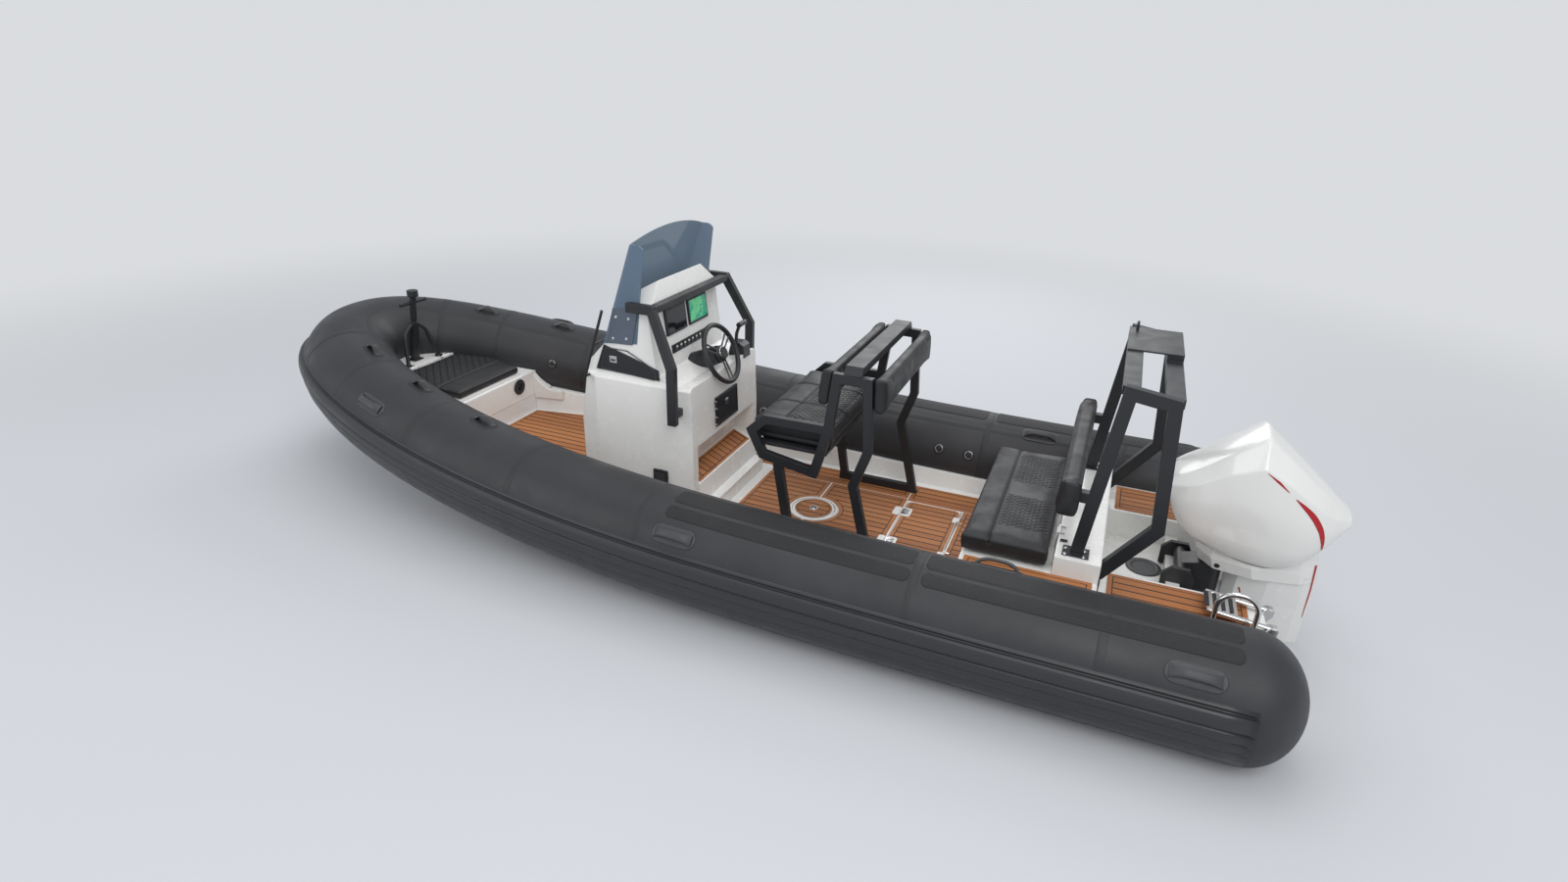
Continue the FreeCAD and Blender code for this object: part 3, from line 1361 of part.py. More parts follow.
def back_pad(low, high, side, z0, z1):
    foot = post_face(low, high, side, z0) + side * fit_gap
    head = post_face(low, high, side, z1) + side * fit_gap
    pad = prism_y([(foot, z0), (head, z1), (head + side * seat_back_thick, z1), (foot + side * seat_back_thick, z0)],
                  -seat_back_half, seat_back_half)
    return pad.makeFillet(round_cushion, [edge for edge in pad.Edges if edge.Length > 0])


export("seat_back_aft", back_pad(skid[3], skid[4], -1, aft_pad_low, aft_pad_high))
export("seat_back_forward", back_pad(skid[6], skid[5], 1, forward_pad_low, forward_pad_high))

# Arch over the stern, with the bench backrest
def arch_point(share):
    return (arch_aft + arch_length * share[0], arch_base + arch_tall * share[1])


arch_line = [arch_point(share) for share in arch_leg_shares]
arch_side = flat_bar(arch_line, arch_bar, arch_half, arch_bar_thick)
foot_top = block(arch_line[0][0] - arch_foot_plate / 2, min(bench_back, arch_line[0][0] + arch_foot_plate / 2),
                 arch_half - arch_bar_thick, arch_half + arch_bar_thick, bench_back_top,
                 bench_back_top + arch_plate_thick)
foot_face = block(bench_back_aft - arch_plate_thick, bench_back_aft, arch_half - arch_bar_thick,
                  arch_half + arch_bar_thick, platform_top, platform_top + arch_foot_plate)
pad_bracket = block(arch_line[0][0] - arch_bar, backrest_x - fit_gap, arch_half - arch_bar_thick / 2,
                    arch_half + arch_bar_thick / 2, backrest_bracket_low, backrest_bracket_low + backrest_bracket)
arch_side = arch_side.fuse([foot_top, foot_face, pad_bracket])
arch_side = biggest(arch_side.cut([bench, stern])).removeSplitter()
export("arch_sides", both_sides(arch_side))
inner_half = arch_half - arch_bar_thick / 2
beams = []
for spot, run in ((arch_line[1], -1), (arch_line[2], 1)):
    beams.append(block(spot[0] - arch_beam_width / 2, spot[0] + arch_beam_width / 2, -inner_half, inner_half,
                       spot[1] - arch_beam_height / 2, spot[1] + arch_beam_height / 2))
plate_low = max(arch_line[1][1], arch_line[2][1]) + arch_beam_height / 2
top_plate = block(arch_line[2][0] - arch_beam_width / 2, arch_line[1][0] + arch_beam_width / 2, arch_top_plate_y,
                  arch_top_plate_y + arch_top_plate_width, arch_line[2][1] + arch_beam_height / 2, plate_low +
                  arch_plate_thick)
top_plate = top_plate.cut(block(arch_line[2][0] + arch_beam_width / 2, arch_line[1][0] - arch_beam_width / 2,
                                arch_top_plate_y, arch_top_plate_y + arch_top_plate_width,
                                arch_line[2][1] - arch_beam_height, plate_low))
eye_y = arch_top_plate_y + arch_eye_width
arch_eye = bent_rod([(arch_line[1][0], eye_y - arch_eye_width / 2, plate_low),
                     (arch_line[1][0], eye_y - arch_eye_width / 2, plate_low + arch_eye_height),
                     (arch_line[1][0], eye_y + arch_eye_width / 2, plate_low + arch_eye_height),
                     (arch_line[1][0], eye_y + arch_eye_width / 2, plate_low)], arch_eye_radius, arch_eye_radius * 2)
export("arch_crossbars", beams[0].fuse([beams[1], top_plate, arch_eye]))
print("arch plate top", plate_low + arch_plate_thick)
backrest = prism_y([(backrest_x, backrest_low), (backrest_x, backrest_high),
                    (backrest_x + backrest_thick - backrest_lean, backrest_high),
                    (backrest_x + backrest_thick, backrest_low)], -backrest_half, backrest_half)
export("bench_backrest", backrest.makeFillet(round_cushion, backrest.Edges))

# Bow post with its cross bar and two raking legs
post_top = foredeck_top + post_height


def post_at(drop):
    # The post's centre line leans aft as it rises
    return post_x - post_lean_run * (post_height - drop) / post_height, post_top - drop


fork_x, fork_z = post_at(post_fork_drop)
bar_x, bar_z = post_at(post_bar_drop)
post = straight_rod((post_x, 0, foredeck_top), (post_x - post_lean_run, 0, post_top), post_radius)
post = post.fuse(straight_rod((post_x, 0, foredeck_top), (fork_x, 0, fork_z), post_base_radius))
post = post.cut(block(post_x - post_leg_half, post_x + post_leg_half, -post_leg_half, post_leg_half,
                      foredeck_top - post_leg_half, foredeck_top))
knob = Part.makeCylinder(post_knob_radius, post_knob_height, vector(post_x - post_lean_run, 0, post_top -
                                                                    post_knob_height / 2))
knob = soften(knob, round_small, lambda edge: True)
cross = straight_rod((bar_x, -post_bar_half, bar_z), (bar_x, post_bar_half, bar_z), post_bar_radius)
plate = block(post_x - post_plate_half, post_x + post_plate_half, -post_plate_half, post_plate_half, foredeck_top,
              foredeck_top + post_plate_thick)
legs = []
for sign in (1, -1):
    legs.append(bent_rod([(fork_x, 0, fork_z), (fork_x, post_leg_half * 0.66 * sign, lerp(foredeck_top, fork_z, 0.74)),
                          (post_x - post_leg_run, post_leg_half * sign, foredeck_top)], post_leg_radius,
                         post_leg_radius * 6))
    legs.append(Part.makeCylinder(post_leg_radius * 2, post_plate_thick,
                                  vector(post_x - post_leg_run, post_leg_half * sign, foredeck_top)))
export("bow_post", post.multiFuse([knob, cross, plate] + legs).cut(clear_of_tubes(foredeck)))

# Floor and platform coverings
cover_outline = [(cover_aft, cover_half), (cover_front, cover_half), (cover_front, -cover_half),
                 (cover_aft, -cover_half)]
cover = prism_z(cover_outline, sole_height, sole_height + cover_thick)
hatch_hole = block(hatch_hinge_x - hinge_foot - move_gap, hatch_front, -hatch_half, hatch_half, sole_height,
                   sole_height + skin)
plate_hole = Part.makeCylinder(plate_radius + ring_width, skin, vector(plate_x, 0, sole_height))
cover = cover.cut([hatch_hole, plate_hole])
gangways = []
for sign in (1, -1):
    low = (console_half + cover_margin) * sign
    high = cover_half * sign
    gangways.append(block(cover_front, console_front - cover_margin, min(low, high), max(low, high), sole_height,
                          sole_height + cover_thick))
cover = cover.fuse(gangways).removeSplitter()
front_start = console_front + sole_ramp + cover_margin
front_end = locker_aft - cover_margin
front_cover = prism_z([(x, sole_half(x) - cover_margin) for x in (front_start, (front_start + front_end) / 2,
                                                                 front_end)] +
                      [(x, cover_margin - sole_half(x)) for x in (front_end, (front_start + front_end) / 2,
                                                                 front_start)],
                      forward_sole_height, forward_sole_height + cover_thick)
export("sole_covering", group([cover.cut(deck), front_cover.cut(deck)]))
plate_ring = Part.makeCylinder(plate_radius + ring_width - fit_gap, cover_thick * 1.4, vector(plate_x, 0, sole_height))
plate_ring = plate_ring.cut(Part.makeCylinder(plate_radius, cover_thick * 2, vector(plate_x, 0, sole_height +
                                                                                   cover_thick / 2)))
export("inspection_plate", plate_ring)
covers = []
for sign in (1, -1):
    low = (platform_inner + cover_margin) * sign
    high = platform_cover_outer * sign
    covers.append(block(platform_aft + platform_corner, bench_back_aft - cover_margin * 2, min(low, high), max(low, high),
                        platform_top, platform_top + cover_thick))
    low = (bench_half + fit_gap * 2) * sign
    high = (tube_spread - tube_radius + cover_margin) * sign
    covers.append(block(bench_back_aft + cover_margin, bench_front - cover_margin, min(low, high), max(low, high),
                        bench_ledge, bench_ledge + cover_thick))

# Hoops on the platforms
hoops = []
for sign in (1, -1):
    hoop = bent_rod([(hoop_x - hoop_half_length, hoop_y * sign, platform_top),
                     (hoop_x - hoop_half_length, hoop_y * sign, platform_top + hoop_height),
                     (hoop_x + hoop_half_length, hoop_y * sign, platform_top + hoop_height),
                     (hoop_x + hoop_half_length, hoop_y * sign, platform_top)], hoop_radius, hoop_half_length * 0.94)
    feet = [Part.makeCylinder(hoop_radius * 2, cover_thick, vector(hoop_x + run * hoop_half_length, hoop_y * sign,
                                                                  platform_top)) for run in (-1, 1)]
    hoops.append(hoop.fuse(feet))
keep = block(platform_aft, 0, -stern_half, stern_half, platform_top, platform_top * 2)
hoops = [hoop.common(keep) for hoop in hoops]
covers = [piece.cut([arch_side, mirrored(arch_side)] + hoops) for piece in covers]
export("platform_covering", group(covers))

# Boarding ladder, folded on the port platform and hinged at its aft edge
ladder_z = platform_top + ladder_lift
ladder_hinge_x = platform_aft - ladder_rail_radius - move_gap
rails = []
for y in (ladder_inner, ladder_outer):
    rail = straight_rod((ladder_hinge_x, y, ladder_z), (ladder_front, y, ladder_z + ladder_rise), ladder_rail_radius)
    ball = Part.makeCylinder(ladder_rail_radius * 1.3, ladder_rail_radius * 2, vector(ladder_hinge_x, y -
                             ladder_rail_radius, ladder_z), vector(0, 1, 0))
    rails.append(rail.fuse(ball))
steps = []
for number in range(ladder_step_count):
    x = ladder_front - ladder_step_pitch * number
    z = ladder_z + ladder_rise * (x - ladder_hinge_x) / (ladder_front - ladder_hinge_x)
    steps.append(block(x - ladder_step_width, x, ladder_inner, ladder_outer, z - ladder_step_thick / 2,
                       z + ladder_step_thick / 2))
ladder = rails[0].multiFuse([rails[1]] + steps)
ladder_pin = Part.makeCylinder(ladder_pin_radius + bore_clearance, ladder_outer, vector(ladder_hinge_x, platform_inner -
                               ladder_outer / 4, ladder_z), vector(0, 1, 0))
ladder = ladder.cut(ladder_pin)
export("boarding_ladder", ladder)
ladder_mounts = []
for y in (ladder_inner, ladder_outer):
    half = ladder_rail_radius + fit_gap
    pin = Part.makeCylinder(ladder_pin_radius, 2 * (half + ladder_ear), vector(ladder_hinge_x, y - half - ladder_ear,
                                                                              ladder_z), vector(0, 1, 0))
    pieces = []
    for start in (y - half - ladder_ear, y + half):
        outline = [(ladder_hinge_x - ladder_rail_radius, ladder_z + ladder_rail_radius),
                   (ladder_hinge_x + ladder_rail_radius, ladder_z + ladder_rail_radius),
                   (platform_aft + ladder_foot, platform_top + cover_thick * 2), (platform_aft + ladder_foot, platform_top),
                   (platform_aft, platform_top), (platform_aft, platform_top - ladder_foot * 2),
                   (ladder_hinge_x - ladder_rail_radius, ladder_z - ladder_rail_radius)]
        pieces.append(prism_y(outline, start, start + ladder_ear))
    ladder_mounts.append(pin.multiFuse(pieces).cut(stern))
export("platform_fittings", group(ladder_mounts + hoops))
print("ladder hinge", ladder_hinge_x, ladder_z)

# Outboard: clamp bracket, swivel bracket, cowl, leg, gearcase and propeller
clamp_outline = spread(clamp_shares, clamp_aft, clamp_length, clamp_low, clamp_tall)
cheeks = []
for sign in (1, -1):
    low = (bracket_half - bracket_thick) * sign
    high = bracket_half * sign
    cheeks.append(prism_y(clamp_outline, min(low, high), max(low, high)))
tilt_tube = Part.makeCylinder(tilt_tube_radius, bracket_half * 2, vector(tilt_x, -bracket_half, tilt_z), vector(0, 1, 0))
bridge = block(-bracket_thick, 0, -bracket_half, bracket_half, clamp_low, clamp_low + bracket_bridge)
clamp_bracket = tilt_tube.multiFuse(cheeks + [bridge]).cut([stern, hull])
export("clamp_bracket", clamp_bracket)
barrel_half = bracket_half - bracket_thick - fit_gap
swivel = Part.makeCylinder(swivel_barrel, barrel_half * 2, vector(tilt_x, -barrel_half, tilt_z), vector(0, 1, 0))
swivel = swivel.fuse([
    Part.makeCylinder(swivel_radius, swivel_top - swivel_bottom, vector(steer_x, 0, swivel_bottom)),
    prism_y([(tilt_x, tilt_z + swivel_barrel), (steer_x, swivel_top), (steer_x, swivel_bottom + swivel_radius),
             (-transom_gap, tilt_z - swivel_web), (-transom_gap, tilt_z - swivel_barrel * 0.6),
             (tilt_x, tilt_z - swivel_barrel)], -swivel_web_half, swivel_web_half)])
swivel = swivel.cut([Part.makeCylinder(tilt_tube_radius + bore_clearance, barrel_half * 4,
                                       vector(tilt_x, -barrel_half * 2, tilt_z), vector(0, 1, 0)),
                     Part.makeCylinder(steer_pin_radius + bore_clearance, swivel_top * 2,
                                       vector(steer_x, 0, swivel_bottom - swivel_top / 2))])
export("swivel_bracket", swivel)


def cowl_section(row):
    place, wide, belly, waist, shoulder, ridge = row
    x = lerp(cowl_front, cowl_aft, place)
    half = cowl_half * wide
    tall = cowl_peak - cowl_bottom
    heights = [cowl_bottom + tall * share for share in (belly, lerp(belly, waist, 0.35), waist, shoulder,
                                                        lerp(shoulder, ridge, 0.8), ridge)]
    return x, list(zip((half * 0.72, half * 0.93, half, half * 0.9, half * 0.5, 0.0), heights))


def cowl_wire(row):
    x, half = cowl_section(row)
    bottom = (0.0, half[0][1])
    outline = [bottom] + half
    corners = [vector(x, y, z) for y, z in mirror_outline(outline)]
    return Part.makePolygon(corners + corners[:1])


cowl = Part.makeLoft([cowl_wire(row) for row in cowl_station_shares], True, True)
export("engine_cowl", cowl)


def leg_wire(row):
    rise, front, back, wide = row
    z = lerp(cavitation_z + plate_thick_cav, leg_top, rise)
    x0 = lerp(leg_front, leg_aft, front)
    x1 = lerp(leg_front, leg_aft, back)
    half = leg_half * wide
    outline = [(x0, half * 0.25), (lerp(x0, x1, 0.12), half * 0.8), (lerp(x0, x1, 0.45), half),
               (lerp(x0, x1, 0.85), half * 0.72), (x1, half * 0.3)]
    corners = [vector(x, y, z) for x, y in outline + [(x, -y) for x, y in outline[::-1]]]
    return Part.makePolygon(corners + corners[:1])


upper_leg = Part.makeLoft([leg_wire(row) for row in saddle_station_shares], True, True)
lower_leg = Part.makeLoft([leg_wire(row) for row in leg_station_shares], True, True)
steer_pin = Part.makeCylinder(steer_pin_radius, swivel_top - swivel_bottom + fit_gap * 2 + yoke_tall,
                              vector(steer_x, 0, swivel_bottom - fit_gap - yoke_tall / 2))
yoke = Part.makeCylinder(swivel_radius, yoke_tall, vector(steer_x, 0, swivel_bottom - fit_gap - yoke_tall))
yoke_arm = block(lerp(leg_front, leg_aft, 0.5), steer_x, -yoke_half, yoke_half, swivel_bottom - fit_gap - yoke_tall,
                 swivel_bottom - fit_gap)
saddle_cap = Part.makeCylinder(swivel_radius, yoke_tall, vector(steer_x, 0, swivel_top + fit_gap))
leg = upper_leg.multiFuse([lower_leg, steer_pin, yoke, yoke_arm, saddle_cap]).cut(cowl)
leg = biggest(leg)
export("engine_leg", leg)

cav_outline = [(plate_front, plate_half * 0.2), (lerp(plate_front, plate_aft, 0.3), plate_half * 0.75),
               (lerp(plate_front, plate_aft, 0.65), plate_half), (lerp(plate_front, plate_aft, 0.93), plate_half * 0.9),
               (plate_aft, plate_half * 0.55)]
cav_plate = prism_z(cav_outline + [(x, -y) for x, y in cav_outline[::-1]], cavitation_z,
                    cavitation_z + plate_thick_cav)


def lens(z, front, back, half):
    corners = [vector(front, 0, z), vector(lerp(front, back, 0.3), half, z), vector(lerp(front, back, 0.7), half * 0.8, z),
               vector(back, half * 0.12, z), vector(back, -half * 0.12, z), vector(lerp(front, back, 0.7), -half * 0.8, z),
               vector(lerp(front, back, 0.3), -half, z)]
    return Part.makePolygon(corners + corners[:1])


shaft_z = cavitation_z - gear_drop
strut = Part.makeLoft([lens(cavitation_z + plate_thick_cav / 2, gear_front + strut_half, gear_aft, strut_half * 1.5),
                       lens(shaft_z, gear_front - strut_half, gear_aft, strut_half)], True, True)
skeg = Part.makeLoft([lens(shaft_z, gear_front - gear_radius, gear_aft, skeg_thick),
                      lens(shaft_z - skeg_depth, lerp(gear_front, gear_aft, 0.55), lerp(gear_front, gear_aft, 0.95),
                           skeg_thick / 2)], True, True)
nose = [vector(lerp(gear_front, gear_aft, along), 0, shaft_z + gear_radius * rise) for along, rise in gear_shares]
axis_end = [vector(nose[-1].x, 0, shaft_z), vector(nose[0].x, 0, shaft_z)]
torpedo = Part.Face(Part.makePolygon(nose + axis_end + nose[:1])).revolve(vector(gear_front, 0, shaft_z),
                                                                        vector(1, 0, 0), 360)
prop_start = gear_aft - fit_gap
prop_shaft = straight_rod((gear_aft + gear_radius, 0, shaft_z), (prop_start - prop_hub_length - fit_gap, 0, shaft_z),
                          prop_shaft_radius)
prop_nut = straight_rod((prop_start - prop_hub_length - fit_gap, 0, shaft_z),
                        (prop_start - prop_hub_length - fit_gap - prop_shaft_radius, 0, shaft_z),
                        prop_shaft_radius * 1.6)
gearcase = torpedo.multiFuse([strut, skeg, cav_plate, prop_shaft, prop_nut]).cut(leg)
export("engine_gearcase", gearcase)


def blade_wire(radius_share):
    radius = prop_radius * radius_share
    pitch = math.atan2(prop_pitch, 2 * math.pi * radius)
    chord = prop_chord * blade_chord(radius_share)
    thick = prop_blade_thick * (1.25 - radius_share)
    mid_x = prop_start - prop_hub_length / 2 - prop_rake * radius_share
    along = vector(-math.sin(pitch), math.cos(pitch), 0)
    normal = vector(math.cos(pitch), math.sin(pitch), 0)
    centre = vector(mid_x, prop_skew * radius_share ** 2, radius)
    corners = [centre - along * (chord / 2), centre - along * (chord * 0.2) + normal * thick,
               centre + along * (chord * 0.2) + normal * thick, centre + along * (chord / 2),
               centre + along * (chord * 0.2) - normal * thick * 0.3, centre - along * (chord * 0.2) - normal * thick * 0.3]
    return Part.makePolygon(corners + corners[:1])


def blade_chord(share):
    return math.sqrt(max(0.02, 1 - ((share - 0.62) / 0.42) ** 2)) if share > 0.62 else 0.62 + 0.38 * share / 0.62


blade = Part.makeLoft([blade_wire(share) for share in blade_radius_shares], True, True)
blade.translate(vector(0, 0, shaft_z))
prop_hub = Part.makeCylinder(prop_hub_radius, prop_hub_length, vector(prop_start - prop_hub_length, 0, shaft_z),
                             vector(1, 0, 0))
blades = []
for number in range(prop_blades):
    turned = blade.copy()
    turned.rotate(vector(0, 0, shaft_z), vector(1, 0, 0), 360 / prop_blades * number)
    blades.append(turned)
prop_bore = straight_rod((prop_start, 0, shaft_z), (prop_start - prop_hub_length, 0, shaft_z),
                         prop_shaft_radius + bore_clearance)
export("propeller", prop_hub.multiFuse(blades).cut(prop_bore))
print("shaft z", shaft_z, "prop from", prop_start, "to", prop_start - prop_hub_length)
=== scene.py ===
import math

import bmesh
import bpy
import numpy as np
from mathutils import Matrix, Vector


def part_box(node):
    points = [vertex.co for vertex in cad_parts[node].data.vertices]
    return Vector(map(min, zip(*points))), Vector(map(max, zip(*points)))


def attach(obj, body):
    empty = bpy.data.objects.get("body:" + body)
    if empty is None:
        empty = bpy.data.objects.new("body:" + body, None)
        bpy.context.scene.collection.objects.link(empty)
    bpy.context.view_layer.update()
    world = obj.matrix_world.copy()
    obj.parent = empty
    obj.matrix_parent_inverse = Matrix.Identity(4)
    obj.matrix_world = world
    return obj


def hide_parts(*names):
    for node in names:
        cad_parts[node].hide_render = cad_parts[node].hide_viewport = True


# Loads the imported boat. +X is forward, +Y is port, +Z is up, and z = 0 is the water's surface.
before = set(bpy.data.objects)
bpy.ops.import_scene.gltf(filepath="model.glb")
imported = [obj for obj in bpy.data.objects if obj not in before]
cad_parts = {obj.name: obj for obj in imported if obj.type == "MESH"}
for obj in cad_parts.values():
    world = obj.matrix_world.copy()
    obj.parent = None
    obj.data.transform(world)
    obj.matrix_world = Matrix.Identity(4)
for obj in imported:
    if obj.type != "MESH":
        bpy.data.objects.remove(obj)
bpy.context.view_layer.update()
print("frame loaded")


# ---- mesh helpers

def linkPiece(name, mesh):
    piece = bpy.data.objects.new(name, mesh)
    bpy.context.scene.collection.objects.link(piece)
    return piece


def addMesh(name, vertices, faces, material, smooth=True):
    mesh = bpy.data.meshes.new(name)
    mesh.from_pydata([tuple(v) for v in vertices], [], [tuple(int(i) for i in f) for f in faces])
    mesh.update()
    mesh.polygons.foreach_set("use_smooth", [smooth] * len(mesh.polygons))
    mesh.materials.append(material)
    return linkPiece(name, mesh)


def addGrid(name, points, material, closeRows=False, closeColumns=False, caps=0):
    # Quads between neighbouring rows and columns of points. Caps are 1, or -1 where the rows run the other way round
    points = np.array(points)
    rows, columns = points.shape[:2]
    faces = []
    for row in range(rows if closeRows else rows - 1):
        for column in range(columns if closeColumns else columns - 1):
            here, ahead, side = row * columns, (row + 1) % rows * columns, (column + 1) % columns
            faces.append((here + column, ahead + column, ahead + side, here + side))
    if caps:
        faces += [tuple(range(columns))[::-caps], tuple(range((rows - 1) * columns, rows * columns))[::caps]]
    return addMesh(name, points.reshape(-1, 3), faces, material)


def addShell(name, rings, material):
    return addGrid(name, rings, material, closeColumns=True, caps=1)


def joinMeshes(name, pieces):
    # Several pieces become one, with their materials kept
    bpy.ops.object.select_all(action="DESELECT")
    for piece in pieces:
        piece.select_set(True)
    bpy.context.view_layer.objects.active = pieces[0]
    bpy.ops.object.join()
    joined = bpy.context.view_layer.objects.active
    joined.name = name
    return joined


def mirrorPiece(piece):
    mesh = piece.data.copy()
    mesh.transform(Matrix.Diagonal((1, -1, 1, 1)))
    mesh.flip_normals()
    return linkPiece(piece.name + "Twin", mesh)


def applyModifiers(piece):
    depsgraph = bpy.context.evaluated_depsgraph_get()
    result = bpy.data.meshes.new_from_object(piece.evaluated_get(depsgraph))
    old = piece.data
    piece.modifiers.clear()
    piece.data = result
    bpy.data.meshes.remove(old)


def bevelPiece(piece, width):
    modifier = piece.modifiers.new("bevel", "BEVEL")
    modifier.width = width
    modifier.segments = 2
    modifier.limit_method = "ANGLE"
    modifier.angle_limit = math.radians(35)
    modifier.harden_normals = True
    applyModifiers(piece)
    return piece


def circle(count):
    return np.linspace(0, 2 * math.pi, count, endpoint=False)


def roundRing(centre, radius, side, other, sides):
    angles = circle(sides)
    return centre + radius * (np.outer(np.cos(angles), side) + np.outer(np.sin(angles), other))


def sweepRound(name, line, radius, material, sides):
    # A round bar along a smooth line of points, with frames carried along it
    ahead = np.gradient(np.array(line), axis=0)
    ahead /= np.linalg.norm(ahead, axis=1)[:, None]
    side = np.cross(ahead[0], (0, 0, 1) if abs(ahead[0][2]) < 0.9 else (1, 0, 0))
    side /= np.linalg.norm(side)
    rings = []
    for place, along in zip(line, ahead):
        side = side - along * side.dot(along)
        side /= np.linalg.norm(side)
        rings.append(roundRing(place, radius, side, np.cross(along, side), sides))
    return addShell(name, rings, material)


def smoothLine(corners, bends):
    # Straight runs with rounded corners: each corner becomes a quadratic curve that starts its bend away
    corners = [np.array(corner, dtype=float) for corner in corners]
    line = [corners[0]]
    for before, corner, after, bend in zip(corners[:-2], corners[1:-1], corners[2:], bends):
        lengths = [np.linalg.norm(end - corner) for end in (before, after)]
        reach = min(bend, 0.48 * lengths[0], 0.48 * lengths[1])
        first, last = (corner + (end - corner) / length * reach for end, length in zip((before, after), lengths))
        for step in np.linspace(0, 1, 8):
            line.append(first * (1 - step) ** 2 + corner * 2 * step * (1 - step) + last * step ** 2)
    return np.array(line + [corners[-1]])


# ---- materials

class Shader:
    # A short way to write node trees: a call adds its nodes and returns the last one's output
    def __init__(self, name, colour, roughness, **sockets):
        self.material = bpy.data.materials.new(name)
        self.material.use_nodes = True
        self.nodes = self.material.node_tree.nodes
        self.links = self.material.node_tree.links
        self.base = self.nodes["Principled BSDF"]
        self.normal = None
        for socket, value in {"Base_Color": (*colour, 1.0), "Roughness": roughness, **sockets}.items():
            self.set(socket.replace("_", " "), value)
        self.place = self.add("TexCoord").outputs["Object"]

    def put(self, node, socket, value):
        if hasattr(value, "is_output"):
            self.links.new(value, node.inputs[socket])
        elif value is not None:
            node.inputs[socket].default_value = value

    def set(self, socket, value):
        self.put(self.base, socket, value)

    def add(self, kind, inputs=None, **settings):
        node = self.nodes.new("ShaderNode" + kind)
        for name, value in settings.items():
            setattr(node, name, value)
        for socket, value in (inputs or {}).items():
            self.put(node, socket, value)
        return node

    def math(self, operation, first, second=None):
        return self.add("Math", {0: first, 1: second}, operation=operation).outputs[0]

    def times(self, first, second):
        return self.math("MULTIPLY", first, second)

    def apart(self, first, second):
        return self.math("ABSOLUTE", self.math("SUBTRACT", first, second))

    def cycle(self, value, pitch):
        # Runs from 0 to 1 once a pitch
        return self.math("FRACT", self.math("DIVIDE", value, pitch))

    def wave(self, value, pitch):
        # Runs from 0 to 1 and back once a pitch
        return self.times(self.apart(self.cycle(value, pitch), 0.5), 2.0)

    def axes(self, source=None):
        return self.add("SeparateXYZ", {0: source or self.place}).outputs[:3]

    def noise(self, scale, detail=4.0, roughness=0.55, stretch=None):
        place = self.add("Mapping", {0: self.place, "Scale": stretch}).outputs[0] if stretch else self.place
        sockets = {"Vector": place, "Scale": scale, "Detail": detail, "Roughness": roughness}
        return self.add("TexNoise", sockets).outputs["Fac"]

    def ramp(self, value, low, high, outLow=0.0, outHigh=1.0):
        sockets = dict(enumerate((value, low, high, outLow, outHigh)))
        return self.add("MapRange", sockets, interpolation_type="SMOOTHSTEP").outputs[0]

    def patchy(self, scale, detail=4.0, low=0.0, high=1.0):
        return self.ramp(self.noise(scale, detail), 0.3, 0.7, low, high)

    def between(self, value, low, high, soft, shift=0.0):
        # 1 from low to high and 0 outside; the ramps lie inside the ends, moved out by the shift
        rise = self.ramp(value, low - shift, low - shift + soft)
        return self.times(rise, self.ramp(value, high + shift - soft, high + shift, 1.0, 0.0))

    def mix(self, share, first, second):
        first, second = (part if hasattr(part, "is_output") else (*part, 1.0) for part in (first, second))
        return self.add("Mix", {0: share, 6: first, 7: second}, data_type="RGBA").outputs[2]

    def soften(self, radius):
        self.normal = self.add("Bevel", {"Radius": radius}, samples=6).outputs[0]
        for socket in ("Normal", "Coat Normal"):
            self.set(socket, self.normal)

    def bump(self, height, distance, strength=1.0):
        sockets = {"Height": height, "Distance": distance, "Strength": strength, "Normal": self.normal}
        self.normal = self.add("Bump", sockets).outputs[0]
        self.set("Normal", self.normal)


def scaled(colour, share):
    return tuple(part * share for part in colour)


def makeFabric(name, colour, paler, roughness, weave=0.0016):
    # Coated tube cloth: a fine plain weave under the coat, with soft scuffing and a little dust
    shader = Shader(name, colour, roughness, Specular_IOR_Level=0.42)
    x, y, z = shader.axes()
    warp, weft = (shader.math("SINE", shader.times(run, 2 * math.pi / weave)) for run in (x, shader.math("ADD", y, z)))
    shader.bump(shader.times(warp, weft), 0.00012, 0.5)
    shader.bump(shader.noise(7.0, 3.0), 0.0015, 0.25)
    shader.set("Base Color", shader.mix(shader.ramp(shader.noise(2.3, 5.0, 0.6), 0.35, 0.72), colour, paler))
    shader.set("Roughness", shader.patchy(5.0, 4.0, roughness - 0.06, roughness + 0.08))
    return shader.material


def makeMoulded(name, colour, roughness, grain=0.0, grainScale=900.0, spread=0.06, edge=0.0, **sockets):
    # Moulded or painted surfaces: a faint colour drift, roughness patches, softened edges and a fine grain
    shader = Shader(name, colour, roughness, **sockets)
    if edge:
        shader.soften(edge)
    shader.set("Base Color", shader.mix(shader.patchy(3.1), colour, scaled(colour, 1 - spread)))
    shader.set("Roughness", shader.patchy(11.0, 5.0, max(0.02, roughness - 0.05), roughness + 0.06))
    if grain:
        shader.bump(shader.noise(grainScale, 2.0), grain, 0.6)
    return shader.material


def makeMetal(name, colour, roughness):
    # Metal with a faint brushed grain
    shader = Shader(name, colour, roughness, Metallic=1.0)
    shader.set("Roughness", shader.patchy(23.0, 4.0, roughness * 0.7, roughness * 1.5))
    shader.bump(shader.noise(300.0, 3.0, stretch=(1.0, 12.0, 12.0)), 0.00005, 0.5)
    return shader.material


teakLook = {"light": (0.50, 0.20, 0.065), "dark": (0.33, 0.115, 0.035), "caulk": (0.012, 0.010, 0.009),
            "pitch": 0.054, "joint": 0.0085}


